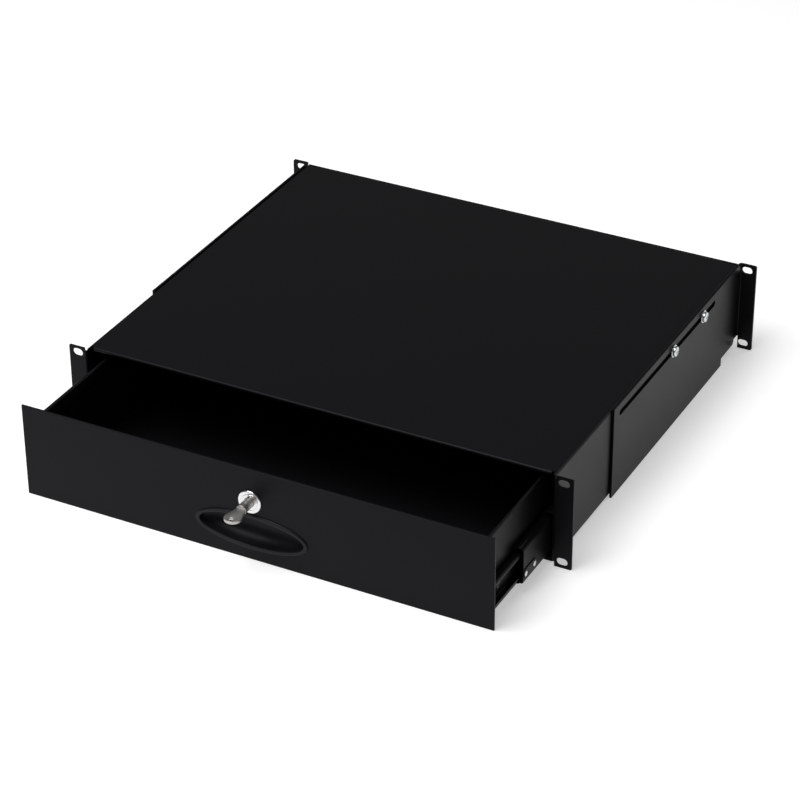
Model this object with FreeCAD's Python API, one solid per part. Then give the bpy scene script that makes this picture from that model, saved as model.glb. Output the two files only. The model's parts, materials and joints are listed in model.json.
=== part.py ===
import FreeCAD, Part
import math
import os

from FreeCAD import Vector

# A two-unit lockable rack drawer: a folded housing with mounting ears, a drawer on
# ball-bearing telescopic rails, a tubular cam lock, and rear brackets that adjust in depth.
# X points right as seen from the front, +Y runs into the rack and +Z points up.
# The origin is the centre of the four front slots, on the ears' front plane.
# The drawer stands partly open, as far as DRAWER_OPEN says.

# Rack interface
EAR_SPAN = 482.6
EAR_HEIGHT = 88.1
SLOT_EDGE_X = 8.75
SLOT_EDGE_Z = 5.95
SLOT_LENGTH = 10.0
SLOT_WIDTH = 7.0
EAR_CORNER = 1.5

# Housing
SHEET = 1.2
SHEET_BEND = 1.2
EAR_REACH = 17.05
HOUSING_TOP_DROP = 0.4
HOUSING_BOTTOM_RISE = 2.0
HOUSING_BACK = 398.8
FLOOR_FLANGE = 11.5
REAR_FLANGE = 12.0
HEM_RETURN = 6.0
HEM_GAP = 1.2
HEM_RELIEF = 3.0
HEM_SETBACK = 4.0
WELD_STRIKE_WIDTH = 40.0
STRIKE_SHEET = 1.5
STRIKE_DROP = 12.0
STRIKE_LEG = 13.0

# Rear closing panel
REAR_SCREW_SHARE = 0.45
REAR_SCREW_Z = 25.0
REAR_FLOOR_LEG = 15.0
REAR_PANEL_EDGE = 0.6

# Telescopic rails
RAIL_LENGTH = 350.0
RAIL_FRONT = 3.0
RAIL_HEIGHT = 45.5
RAIL_DEPTH = 12.7
RAIL_SHEET = 1.2
RAIL_BEND = 0.9
RAIL_FLOOR_GAP = 0.6
OUTER_BALL_R = 2.2
INNER_BALL_R = 1.75
RACE_GAP = 0.3
RACE_STEP = 1.2
RACE_LIP = 3.2
RACE_FLAT = 1.2
RACE_SLOPE = 1.3
RACE_BEND_GAP = 0.2
OUTER_LIP_GAP = 0.3
DRAWER_LIP = 0.9
CAGE_SHEET = 0.7
CAGE_GAP = 0.45
CAGE_LENGTH = 60.0
CAGE_BEND = 0.5
BALLS_PER_ROW = 2
BALL_PITCH = 44.0
BUMPER_LENGTH = 6.0
CATCH_LENGTH = 24.0
CATCH_HEIGHT = 9.0
CATCH_DROP = 7.5
CATCH_SHEET = 0.8
CATCH_RIVET_FRONT = 2.88
CATCH_RIVET_BACK = 4.8
RIVET_R = 1.5
RIVET_HEAD_R = 2.4
RIVET_HEAD = 0.4
RAIL_SCREW_R = 1.95
RAIL_SCREW_HEAD_R = 3.6
RAIL_SCREW_HEAD = 1.8
OUTER_RAIL_RIVETS = (137.0, 237.0, 337.0)
INNER_RAIL_SCREWS = (20.0, 125.0, 230.0, 330.0)
RAIL_WINDOW_LENGTH = 34.0
RAIL_WINDOW_WIDTH = 12.0
RAIL_WINDOWS = (70.0, 175.0, 280.0)

# Drawer
DRAWER_OPEN = 102.3
PANEL_SIDE = 3.05
PANEL_SHEET = 2.0
PANEL_EDGE = 0.6
PANEL_SHUT_GAP = 0.3
TRAY_LENGTH = 372.0
TRAY_TOP_DROP = 9.6
TRAY_FLOOR_DROP = 0.75
TRAY_HEM = 8.0
TRAY_HEM_GAP = 0.9
STUD_R = 2.0
STUD_LENGTH = 9.0
STUD_FAR_EDGE = 31.2
STUD_NEAR_SHARE = 0.36
STUD_HIGH = 14.0
STUD_LOW = -26.0
NUT_FLATS = 7.0
NUT_THICKNESS = 3.2

# Handle cup
CUP_Z = -16.2
CUP_RIM_A = 53.0
CUP_RIM_B = 17.2
CUP_RIM = 1.3
CUP_RIM_EDGE = 0.9
CUP_MOUTH_A = 49.0
CUP_MOUTH_B = 13.6
CUP_WALL = 1.6
CUP_DEPTH = 14.5
CUP_LIFT = 4.6
CUP_SHAPE = ((0.0, 0.0, 1.0, 1.0), (0.3, 0.05, 0.97, 0.97), (0.7, 0.5, 0.88, 0.88), (1.0, 1.0, 0.66, 0.56))
CUP_HOLE_GAP = 0.4
CUP_SNAP_ROOT = 4.9
CUP_SNAP_REACH = 2.2
CUP_SNAP_WIDTH = 9.0
CUP_SNAP_DEPTH = 4.0

# Lock
LOCK_Z = 13.6
BEZEL_R = 10.75
BEZEL_DEPTH = 2.4
BEZEL_EDGE = 1.2
BARREL_R = 9.4
BARREL_FLAT = 8.0
BARREL_LENGTH = 18.0
PLUG_R = 6.0
PLUG_FLANGE_R = 7.4
PLUG_FLANGE = 1.3
TURN_GAP = 0.05
LOCK_WASHER = 0.8
LOCK_WASHER_R = 11.0
LOCK_NUT = 4.0
LOCK_NUT_FLATS = 22.0
KEYWAY_IN = 3.15
KEYWAY_OUT = 4.6
KEYWAY_DEPTH = 8.0
KEY_GAP = 0.15
KEY_INSERTED = 7.2
KEY_NECK = 12.5
KEY_END_WALL = 4.0
KEY_PLATE = 2.4
BOW_R = 7.6
BOW_CENTRE = 25.6
BOW_SHOULDER = 6.2
BOW_HOLE_R = 2.2
CAM_SHEET = 2.0
CAM_REACH = 25.5
CAM_WIDTH = 13.0
CAM_HUB_R = 8.0
CAM_SQUARE = 7.0
CAM_GAP = 0.2
CAM_SCREW_R = 2.0
CAM_SCREW_HEAD_R = 4.6
CAM_SCREW_HEAD = 2.0
CAM_SCREW_LENGTH = 8.0

# Rear brackets
BRACKET_SHEET = 2.0
BRACKET_BEND = 0.8
BRACKET_SLIP = 0.3
BRACKET_FRONT = 114.0
BRACKET_BACK = 402.0
BRACKET_SLOT_START = 125.0
BRACKET_SLOT_END = 338.0
BRACKET_SLOT_WIDTH = 5.6
BRACKET_SLOT_DROP = 9.3
NOTCH_LENGTH = 40.0
NOTCH_HEIGHT = 12.5
NOTCH_CORNER = 2.0
CLAMP_SCREWS = (241.6, 309.4)
CLAMP_SCREW_R = 2.45
CLAMP_HEAD_R = 4.75
CLAMP_HEAD = 3.2
CLAMP_LENGTH = 12.0
CLAMP_WASHER = 1.0
CLAMP_WASHER_R = 5.8
CLINCH_NUT_R = 4.6
CLINCH_NUT = 4.0

# Small screws and the clearance of every threaded or turned fit
SMALL_SCREW_R = 1.95
SMALL_HEAD_R = 3.8
SMALL_HEAD = 2.4
SMALL_SCREW_LENGTH = 7.0
FIT_GAP = 0.05
CUT_OVER = 1.0
SHORTEST_LINE = 0.001
HEAD_EASE = 0.4

# Places that follow from the sizes above
EAR_TOP = EAR_HEIGHT / 2
EAR_BOTTOM = -EAR_HEIGHT / 2
SLOT_X = EAR_SPAN / 2 - SLOT_EDGE_X
SLOT_Z = EAR_TOP - SLOT_EDGE_Z
HOUSING_HALF = EAR_SPAN / 2 - EAR_REACH
HOUSING_TOP = EAR_TOP - HOUSING_TOP_DROP
HOUSING_BOTTOM = EAR_BOTTOM + HOUSING_BOTTOM_RISE
HOUSING_FRONT = SHEET + SHEET_BEND
WALL_INNER = HOUSING_HALF - SHEET
DRAWER_HALF = WALL_INNER - RAIL_DEPTH
PANEL_HALF = HOUSING_HALF - PANEL_SIDE
RAIL_Z = HOUSING_BOTTOM + SHEET + RAIL_FLOOR_GAP + RAIL_HEIGHT / 2
PANEL_BACK = -PANEL_SHUT_GAP - DRAWER_OPEN
PANEL_FRONT = PANEL_BACK - PANEL_SHEET
TRAY_BACK = PANEL_BACK + TRAY_LENGTH
TRAY_TOP = HOUSING_TOP - TRAY_TOP_DROP
TRAY_BOTTOM = HOUSING_BOTTOM - TRAY_FLOOR_DROP
BARREL_BACK = PANEL_FRONT + BARREL_LENGTH
CAM_FRONT = BARREL_BACK + CAM_GAP
STRIKE_BACK = CAM_FRONT + DRAWER_OPEN - 2 * CAM_GAP
BRACKET_OUTER = HOUSING_HALF + BRACKET_SLIP + BRACKET_SHEET
CLAMP_Z = EAR_TOP - BRACKET_SLOT_DROP

# Where the rail parts stand, at half, a quarter and three quarters of the drawer's travel
MIDDLE_SHIFT = DRAWER_OPEN / 2
OUTER_CAGE_SHIFT = DRAWER_OPEN / 4
INNER_CAGE_SHIFT = 3 * DRAWER_OPEN / 4
CAGE_HOME = RAIL_FRONT + RAIL_LENGTH / 2

# Rail sections: across from the drawer's wall, and up from the rail's centre
OUTER_WEB = RAIL_DEPTH - RAIL_SHEET / 2
OUTER_CAGE_WEB = OUTER_WEB - RAIL_SHEET / 2 - CAGE_GAP - CAGE_SHEET / 2
MIDDLE_WEB = OUTER_CAGE_WEB - CAGE_SHEET / 2 - CAGE_GAP - RAIL_SHEET / 2
INNER_CAGE_WEB = MIDDLE_WEB - RAIL_SHEET / 2 - CAGE_GAP - CAGE_SHEET / 2
INNER_FLANGE_END = INNER_CAGE_WEB - CAGE_SHEET / 2 - CAGE_GAP - RAIL_SHEET / 2
OUTER_FLANGE = RAIL_HEIGHT / 2 - RAIL_SHEET / 2
OUTER_BALL_H = OUTER_FLANGE - RAIL_SHEET / 2 - RACE_GAP - OUTER_BALL_R
MIDDLE_DIP = OUTER_BALL_H - OUTER_BALL_R - RACE_GAP - RAIL_SHEET / 2
MIDDLE_BUMP = MIDDLE_DIP + RACE_STEP
INNER_BALL_H = MIDDLE_BUMP - RAIL_SHEET / 2 - RACE_GAP - INNER_BALL_R
INNER_FLANGE = INNER_BALL_H - INNER_BALL_R - RACE_GAP - RAIL_SHEET / 2
MIDDLE_LIP = DRAWER_LIP + RAIL_SHEET / 2
INNER_BALL_S = MIDDLE_LIP + RAIL_SHEET / 2 + RACE_GAP + INNER_BALL_R
OUTER_BALL_S = MIDDLE_WEB - RAIL_BEND - RAIL_SHEET / 2 - RACE_BEND_GAP
DIP_START = OUTER_BALL_S - RACE_FLAT
BUMP_END = DIP_START - RACE_SLOPE
OUTER_LIP = OUTER_BALL_S - OUTER_BALL_R - RACE_GAP - RAIL_SHEET - OUTER_LIP_GAP


# Helpers for folded sheet and turned parts

def in_xz(y):
    """Places a section (across, up) on the plane at y."""
    return lambda a, b: Vector(a, y, b)


def in_yz(x):
    """Places a section (depth, up) on the plane at x."""
    return lambda a, b: Vector(x, a, b)


def in_xy(z):
    """Places a section (across, depth) on the plane at z."""
    return lambda a, b: Vector(a, b, z)


def strip_side(corners, middle, offset):
    """One side of a folded strip: its points, with (start, middle, end) at each bend."""
    line = [Vector(a, b, 0) for a, b in corners]
    runs = [(q - p).normalize() for p, q in zip(line, line[1:])]
    left = [Vector(-u.y, u.x, 0) for u in runs]
    side = [line[0] + left[0] * offset]
    for i, corner in enumerate(line[1:-1]):
        turn = math.atan2(runs[i].cross(runs[i + 1]).z, runs[i].dot(runs[i + 1]))
        reach = middle * math.tan(abs(turn) / 2)
        start = corner - runs[i] * reach
        end = corner + runs[i + 1] * reach
        way = math.copysign(1.0, turn)
        centre = start + left[i] * (way * middle)
        outwards = (corner - centre).normalize()
        crown = centre + outwards * (middle - way * offset)
        side.append((start + left[i] * offset, crown, end + left[i + 1] * offset))
    side.append(line[-1] + left[-1] * offset)
    return side


def side_edges(side, place):
    """The lines and arcs along one side of a folded strip."""
    def put(p):
        return place(p.x, p.y)
    edges = []
    at = side[0]
    for step in side[1:]:
        start, crown, end = step if isinstance(step, tuple) else (step, None, None)
        if (start - at).Length > SHORTEST_LINE:
            edges.append(Part.makeLine(put(at), put(start)))
        if crown:
            edges.append(Part.Arc(put(start), put(crown), put(end)).toShape())
        at = end
    return edges


def strip(corners, thickness, bend, place, run):
    """A sheet of one thickness folded along corners, its bends of inner radius bend, pushed along run."""
    middle = bend + thickness / 2
    one = strip_side(corners, middle, thickness / 2)
    other = strip_side(corners, middle, -thickness / 2)
    caps = [Part.makeLine(place(a.x, a.y), place(b.x, b.y))
            for a, b in ((one[0], other[0]), (one[-1], other[-1]))]
    edges = side_edges(one, place) + side_edges(other, place) + caps
    wire = Part.Wire(Part.__sortEdges__(edges))
    return Part.Face(wire).extrude(run)


def block(low, high):
    """A box between two corners."""
    size = Vector(*high) - Vector(*low)
    return Part.makeBox(size.x, size.y, size.z, Vector(*low))


def rod(base, axis, radius, length):
    """A cylinder from base along axis."""
    return Part.makeCylinder(radius, length, Vector(*base), Vector(*axis))


def slot(centre, length, width, long_axis, through, depth):
    """A prism with round ends, centred in its depth, to cut a slot."""
    along = Vector(*long_axis)
    push = Vector(*through)
    across = push.cross(along)
    half = (length - width) / 2
    radius = width / 2
    start = Vector(*centre) - push * (depth / 2)
    a = start + along * half
    b = start - along * half
    edges = [
        Part.makeLine(b + across * radius, a + across * radius),
        Part.Arc(a + across * radius, a + along * radius, a - across * radius).toShape(),
        Part.makeLine(a - across * radius, b - across * radius),
        Part.Arc(b - across * radius, b - along * radius, b + across * radius).toShape(),
    ]
    return Part.Face(Part.Wire(edges)).extrude(push * depth)


def ellipse_wire(y, centre_z, a, b):
    """An upright ellipse at depth y."""
    centre = Vector(0, y, centre_z)
    curve = Part.Ellipse(centre + Vector(a, 0, 0), centre + Vector(0, 0, b), centre)
    return Part.Wire(curve.toShape())


def joined(*shapes):
    """One solid made of overlapping or touching shapes."""
    return shapes[0].multiFuse(list(shapes[1:])).removeSplitter()


def group(shapes):
    """Separate solids kept in one node."""
    return Part.makeCompound(list(shapes))


def mirrored(shape):
    """The left-hand copy of a right-hand part."""
    return shape.mirror(Vector(0, 0, 0), Vector(1, 0, 0))


def both_sides(shapes):
    """A right-hand set and its left-hand copies."""
    return [s for shape in shapes for s in (shape, mirrored(shape))]


def aimed(shape, base, axis):
    """A part drawn up the Z axis, stood on base along axis."""
    shape.Placement = FreeCAD.Placement(Vector(*base), FreeCAD.Rotation(Vector(0, 0, 1), Vector(*axis)))
    return shape


def pan_screw(seat, axis, radius, length, head_radius, head):
    """A screw whose head stands on seat and points along axis, its rim eased."""
    ease = head * HEAD_EASE
    points = [(0, -length), (radius, -length), (radius, 0), (head_radius, 0), (head_radius, head - ease),
              (head_radius - ease, head), (0, head), (0, -length)]
    outline = Part.makePolygon([Vector(r, 0, z) for r, z in points])
    return aimed(Part.Face(outline).revolve(Vector(0, 0, 0), Vector(0, 0, 1), 360), seat, axis)


def ring(base, axis, outer, inner, height):
    """A washer or collar from base along axis."""
    return rod(base, axis, outer, height).cut(rod(base, axis, inner, height))


def hex_nut(base, axis, flats, bore, height):
    """A hexagon nut that stands on base along axis."""
    corner = flats / math.sqrt(3)
    turns = [math.radians(60 * k) for k in range(7)]
    points = [Vector(corner * math.cos(turn), corner * math.sin(turn), 0) for turn in turns]
    body = Part.Face(Part.makePolygon(points)).extrude(Vector(0, 0, height))
    body = body.cut(Part.makeCylinder(bore, height))
    return aimed(body, base, axis)


def lies_along(edge, axis):
    """Whether a straight edge runs along an axis, either way."""
    return edge.tangentAt(edge.FirstParameter).cross(Vector(*axis)).Length < SHORTEST_LINE


def export(node, shape):
    """Writes one node."""
    shape.exportStep(os.path.join("parts", node + ".step"))


# Housing

def ear_slots(y, thickness):
    """Cutters for the four rack slots of a pair of ears."""
    return [slot((x * SLOT_X, y, z * SLOT_Z), SLOT_LENGTH, SLOT_WIDTH,
                 (1, 0, 0), (0, 1, 0), thickness + 2 * CUT_OVER)
            for x in (-1, 1) for z in (-1, 1)]


def ear_plate(inner, front, thickness):
    """The flat of a right-hand ear, with its free corners rounded."""
    plate = block((inner, front, EAR_BOTTOM), (EAR_SPAN / 2, front + thickness, EAR_TOP))
    corners = [e for e in plate.Edges
               if e.CenterOfMass.x > EAR_SPAN / 2 - EAR_CORNER
               and abs(e.CenterOfMass.z) > EAR_TOP - EAR_CORNER
               and lies_along(e, (0, 1, 0))]
    return plate.makeFillet(EAR_CORNER, corners)


def front_ear():
    """The right-hand ear and the bend that carries it on the housing's side."""
    plate = ear_plate(HOUSING_HALF + SHEET_BEND, 0, SHEET)
    wall = HOUSING_HALF - SHEET / 2
    corners = [(HOUSING_HALF + 2 * SHEET_BEND, SHEET / 2), (wall, SHEET / 2), (wall, 2 * HOUSING_FRONT)]
    flat_low = HOUSING_BOTTOM + HOUSING_FRONT
    flat_high = HOUSING_TOP - HOUSING_FRONT
    bend = strip(corners, SHEET, SHEET_BEND, in_xy(flat_low), Vector(0, 0, flat_high - flat_low))
    return plate, bend


def housing_wrap():
    """Top, sides and floor flanges, as one folded sheet."""
    wall = HOUSING_HALF - SHEET / 2
    top = HOUSING_TOP - SHEET / 2
    bottom = HOUSING_BOTTOM + SHEET / 2
    toe = HOUSING_HALF - FLOOR_FLANGE
    corners = [(-toe, bottom), (-wall, bottom), (-wall, top), (wall, top), (wall, bottom), (toe, bottom)]
    depth = HOUSING_BACK - 2 * HOUSING_FRONT
    return strip(corners, SHEET, SHEET_BEND, in_xz(HOUSING_FRONT), Vector(0, depth, 0))


def front_hem():
    """The top's front edge, folded under itself into a round nose."""
    half = HOUSING_HALF - HOUSING_FRONT - HEM_RELIEF
    top = HOUSING_TOP - SHEET / 2
    under = top - SHEET - HEM_GAP
    nose = HEM_SETBACK + HOUSING_FRONT + SHEET / 2 - 2 * SHEET
    back = HEM_SETBACK + HOUSING_FRONT + HEM_RETURN
    corners = [(back, under), (nose, under), (nose, top), (back, top)]
    return strip(corners, SHEET, HEM_GAP / 2, in_yz(-half), Vector(2 * half, 0, 0))


def front_setback():
    """What is trimmed off the top's front edge, between the bends of the side walls."""
    half = HOUSING_HALF - HOUSING_FRONT
    return block((-half, HOUSING_FRONT - CUT_OVER, HOUSING_TOP - SHEET - CUT_OVER),
                 (half, HOUSING_FRONT + HEM_SETBACK, HOUSING_TOP + CUT_OVER))


def rear_flanges():
    """The flanges that the closing panel is screwed to: one down from the top, one in from each side."""
    back = HOUSING_BACK - SHEET / 2
    start = HOUSING_BACK - 3 * HOUSING_FRONT
    top = HOUSING_TOP - SHEET / 2
    wall = HOUSING_HALF - SHEET / 2
    half = HOUSING_HALF - HOUSING_FRONT - REAR_FLANGE
    down = strip([(start, top), (back, top), (back, HOUSING_TOP - REAR_FLANGE)], SHEET, SHEET_BEND,
                 in_yz(-half), Vector(2 * half, 0, 0))
    low = HOUSING_BOTTOM + HOUSING_FRONT
    high = HOUSING_TOP - HOUSING_FRONT
    corners = [(wall, start), (wall, back), (HOUSING_HALF - REAR_FLANGE, back)]
    side = strip(corners, SHEET, SHEET_BEND, in_xy(low), Vector(0, 0, high - low))
    return [down, side, mirrored(side)]


def rear_screw_places():
    """Where the closing panel's screws go: four down the sides and two along the top."""
    x = HOUSING_HALF - REAR_FLANGE / 2 - SHEET / 2
    z = HOUSING_TOP - REAR_FLANGE / 2 - SHEET / 2
    sides = [(sx * x, sz * REAR_SCREW_Z) for sx in (-1, 1) for sz in (-1, 1)]
    return sides + [(-REAR_SCREW_SHARE * x, z), (REAR_SCREW_SHARE * x, z)]


def rear_screw_holes():
    """Cutters through the flanges and the closing panel."""
    start = HOUSING_BACK - SHEET - CUT_OVER
    return [rod((x, start, z), (0, 1, 0), SMALL_SCREW_R + FIT_GAP, 2 * SHEET + 2 * CUT_OVER)
            for x, z in rear_screw_places()]


def side_holes():
    """Cutters in both housing sides for the outer rails' rivets and the clamp screws."""
    start = WALL_INNER - CUT_OVER
    through = SHEET + 2 * CUT_OVER
    rivets = [rod((start, RAIL_FRONT + y, RAIL_Z), (1, 0, 0), RAIL_SCREW_R + FIT_GAP, through)
              for y in OUTER_RAIL_RIVETS]
    clamps = [rod((start, y, CLAMP_Z), (1, 0, 0), CLAMP_SCREW_R + FIT_GAP, through) for y in CLAMP_SCREWS]
    return both_sides(rivets + clamps)


def housing_shell():
    """The housing: one folded sheet with its two ears."""
    plate, bend = front_ear()
    ears = both_sides([plate, bend])
    shell = joined(housing_wrap().cut(front_setback()), front_hem(), *ears, *rear_flanges())
    return shell.cut(ear_slots(SHEET / 2, SHEET) + rear_screw_holes() + side_holes())


def rear_panel():
    """The plate that closes the back, with a stiffening leg along its lower edge."""
    half = HOUSING_HALF - REAR_PANEL_EDGE
    back = HOUSING_BACK + SHEET / 2
    plate = block((-half, HOUSING_BACK, HOUSING_BOTTOM + HOUSING_FRONT),
                  (half, HOUSING_BACK + SHEET, HOUSING_TOP - REAR_PANEL_EDGE))
    leg_half = HOUSING_HALF - FLOOR_FLANGE - 2 * REAR_PANEL_EDGE
    floor = HOUSING_BOTTOM + SHEET / 2
    corners = [(back, floor + 3 * HOUSING_FRONT), (back, floor), (HOUSING_BACK - REAR_FLOOR_LEG, floor)]
    leg = strip(corners, SHEET, SHEET_BEND, in_yz(-leg_half), Vector(2 * leg_half, 0, 0))
    return joined(plate, leg).cut(rear_screw_holes())


def rear_panel_screws():
    """Six pan-head screws in the closing panel."""
    seat = HOUSING_BACK + SHEET
    return group(pan_screw((x, seat, z), (0, 1, 0), SMALL_SCREW_R, SMALL_SCREW_LENGTH,
                           SMALL_HEAD_R, SMALL_HEAD) for x, z in rear_screw_places())


def lock_strike():
    """The angle welded under the top, which the lock's cam hooks behind."""
    face = STRIKE_BACK - STRIKE_SHEET / 2
    top = HOUSING_TOP - SHEET - STRIKE_SHEET / 2
    corners = [(STRIKE_BACK + STRIKE_LEG, top), (face, top), (face, HOUSING_TOP - SHEET - STRIKE_DROP)]
    width = WELD_STRIKE_WIDTH
    return strip(corners, STRIKE_SHEET, SHEET_BEND, in_yz(-width / 2), Vector(width, 0, 0))


# Telescopic rails, drawn for the right-hand side

def rail_section(half_profile):
    """A whole rail section from its upper half, listed from the free edge to the web."""
    upper = [(DRAWER_HALF + s, RAIL_Z + h) for s, h in half_profile]
    lower = [(DRAWER_HALF + s, RAIL_Z - h) for s, h in half_profile]
    return upper + lower[::-1]


def rail(half_profile, thickness, bend, start, length):
    """A rolled rail pushed along the travel."""
    return strip(rail_section(half_profile), thickness, bend, in_xz(start), Vector(0, length, 0))


def countersink(x, y):
    """Cutter for a flat-head rivet through the outer rail's web, its head on the inner side."""
    sink = RAIL_SCREW_HEAD_R - RAIL_SCREW_R
    cone = Part.makeCone(RAIL_SCREW_HEAD_R, RAIL_SCREW_R + FIT_GAP, min(sink, RAIL_SHEET),
                         Vector(x, y, RAIL_Z), Vector(1, 0, 0))
    return cone.fuse(rod((x, y, RAIL_Z), (1, 0, 0), RAIL_SCREW_R + FIT_GAP, 2 * RAIL_SHEET))


def outer_rail():
    """The rail on the housing, with its bumper space at the back."""
    half = [(OUTER_LIP, OUTER_FLANGE - RACE_LIP), (OUTER_LIP, OUTER_FLANGE), (OUTER_WEB, OUTER_FLANGE)]
    body = rail(half, RAIL_SHEET, RAIL_BEND, RAIL_FRONT, RAIL_LENGTH + BUMPER_LENGTH)
    face = DRAWER_HALF + RAIL_DEPTH - RAIL_SHEET
    return body.cut([countersink(face, RAIL_FRONT + y) for y in OUTER_RAIL_RIVETS])


def outer_rail_rivet(y):
    """A flat-head rivet that fixes the outer rail, flush inside and outside."""
    face = DRAWER_HALF + RAIL_DEPTH - RAIL_SHEET
    sink = min(RAIL_SCREW_HEAD_R - RAIL_SCREW_R, RAIL_SHEET)
    head = Part.makeCone(RAIL_SCREW_HEAD_R - FIT_GAP, RAIL_SCREW_R, sink,
                         Vector(face, y, RAIL_Z), Vector(1, 0, 0))
    shank = rod((face, y, RAIL_Z), (1, 0, 0), RAIL_SCREW_R, HOUSING_HALF - face)
    return head.fuse(shank).removeSplitter()


def middle_rail():
    """The rail between, whose stepped flanges carry a ball row above and one below."""
    half = [(MIDDLE_LIP, MIDDLE_BUMP - RACE_LIP + RAIL_SHEET / 2), (MIDDLE_LIP, MIDDLE_BUMP),
            (BUMP_END, MIDDLE_BUMP), (DIP_START, MIDDLE_DIP), (MIDDLE_WEB, MIDDLE_DIP)]
    start = RAIL_FRONT - MIDDLE_SHIFT
    body = rail(half, RAIL_SHEET, RAIL_BEND, start, RAIL_LENGTH)
    x = DRAWER_HALF + MIDDLE_WEB
    windows = [slot((x, start + y, RAIL_Z), RAIL_WINDOW_LENGTH, RAIL_WINDOW_WIDTH, (0, 1, 0), (1, 0, 0),
                    RAIL_SHEET + 2 * CUT_OVER) for y in RAIL_WINDOWS]
    rivets = [rod((x - RAIL_SHEET, y, RAIL_Z - CATCH_DROP), (1, 0, 0), RIVET_R + FIT_GAP, 2 * RAIL_SHEET)
              for y in catch_rivet_places()]
    return body.cut(windows + rivets)


def inner_rail():
    """The rail on the drawer, with holes for its screws."""
    half = [(INNER_FLANGE_END, INNER_FLANGE - RACE_LIP + RAIL_SHEET / 2), (INNER_FLANGE_END, INNER_FLANGE),
            (RAIL_SHEET / 2, INNER_FLANGE)]
    start = RAIL_FRONT - DRAWER_OPEN
    body = rail(half, RAIL_SHEET, RAIL_BEND, start, RAIL_LENGTH)
    return body.cut([rod((DRAWER_HALF - CUT_OVER, start + y, RAIL_Z), (1, 0, 0), RAIL_SCREW_R + FIT_GAP,
                         RAIL_SHEET + 2 * CUT_OVER) for y in INNER_RAIL_SCREWS])


def inner_rail_screw(y):
    """A pan-head screw through the inner rail into the drawer's wall."""
    seat = DRAWER_HALF + RAIL_SHEET
    return pan_screw((seat, y, RAIL_Z), (1, 0, 0), RAIL_SCREW_R, RAIL_SHEET + SHEET,
                     RAIL_SCREW_HEAD_R, RAIL_SCREW_HEAD)


def catch_rivet_places():
    """Where the two rivets of the middle rail's catch plate stand."""
    start = RAIL_FRONT - MIDDLE_SHIFT
    return [start + CATCH_RIVET_FRONT, start + CATCH_LENGTH - CATCH_RIVET_BACK]


def rail_catch():
    """The stop plate riveted to the front of the middle rail, on its outer face."""
    face = DRAWER_HALF + MIDDLE_WEB + RAIL_SHEET / 2
    start = RAIL_FRONT - MIDDLE_SHIFT
    plate = slot((face + CATCH_SHEET / 2, start + CATCH_LENGTH / 2, RAIL_Z - CATCH_DROP), CATCH_LENGTH,
                 CATCH_HEIGHT, (0, 1, 0), (1, 0, 0), CATCH_SHEET)
    return plate.cut([rod((face - CUT_OVER, y, RAIL_Z - CATCH_DROP), (1, 0, 0), RIVET_R + FIT_GAP,
                          CATCH_SHEET + 2 * CUT_OVER) for y in catch_rivet_places()])


def catch_rivet(y):
    """A rivet of the catch plate."""
    face = DRAWER_HALF + MIDDLE_WEB + RAIL_SHEET / 2 + CATCH_SHEET
    shank = rod((face, y, RAIL_Z - CATCH_DROP), (-1, 0, 0), RIVET_R, RAIL_SHEET + CATCH_SHEET)
    head = rod((face, y, RAIL_Z - CATCH_DROP), (1, 0, 0), RIVET_HEAD_R, RIVET_HEAD)
    return head.fuse(shank).removeSplitter()


def ball_places(centre_y, across, up):
    """Ball centres of a cage: the same row above and below the rail's centre."""
    first = centre_y - BALL_PITCH * (BALLS_PER_ROW - 1) / 2
    return [(DRAWER_HALF + across, first + BALL_PITCH * i, RAIL_Z + side * up)
            for side in (-1, 1) for i in range(BALLS_PER_ROW)]


def cage(centre_y, web, across, up, flange_end, ball_r):
    """A folded strip that keeps two rows of balls apart, with a pocket round each ball and an open web."""
    half = [(flange_end, up), (web, up)]
    body = rail(half, CAGE_SHEET, CAGE_BEND, centre_y - CAGE_LENGTH / 2, CAGE_LENGTH)
    pockets = [Part.makeSphere(ball_r + FIT_GAP, Vector(*p)) for p in ball_places(centre_y, across, up)]
    window = slot((DRAWER_HALF + web, centre_y, RAIL_Z), CAGE_LENGTH / 2, CAGE_LENGTH / 5,
                  (0, 1, 0), (1, 0, 0), CAGE_SHEET + 2 * CUT_OVER)
    return body.cut(pockets + [window])


def balls(centre_y, across, up, ball_r):
    """The balls of one cage."""
    return group(Part.makeSphere(ball_r, Vector(*p)) for p in ball_places(centre_y, across, up))


def outer_cage():
    """The cage between the outer and the middle rail."""
    end = OUTER_LIP + RAIL_SHEET / 2 + CAGE_GAP
    return cage(CAGE_HOME - OUTER_CAGE_SHIFT, OUTER_CAGE_WEB, OUTER_BALL_S, OUTER_BALL_H, end, OUTER_BALL_R)


def inner_cage():
    """The cage between the middle and the inner rail."""
    end = MIDDLE_LIP + RAIL_SHEET / 2 + CAGE_GAP
    return cage(CAGE_HOME - INNER_CAGE_SHIFT, INNER_CAGE_WEB, INNER_BALL_S, INNER_BALL_H, end, INNER_BALL_R)


def rail_bumper():
    """The rubber block that stops the middle rail when the drawer shuts."""
    start = RAIL_FRONT + RAIL_LENGTH + RACE_GAP
    web = DRAWER_HALF + RAIL_DEPTH - RAIL_SHEET
    low = (DRAWER_HALF + MIDDLE_WEB - RAIL_SHEET, start, RAIL_Z - MIDDLE_DIP)
    high = (web, RAIL_FRONT + RAIL_LENGTH + BUMPER_LENGTH, RAIL_Z + MIDDLE_DIP)
    body = block(low, high)
    ease = min(BUMPER_LENGTH, OUTER_WEB - MIDDLE_WEB) / 4
    upright = [e for e in body.Edges if lies_along(e, (0, 0, 1)) and e.CenterOfMass.x < web - ease]
    return body.makeFillet(ease, upright)


# Drawer

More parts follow.
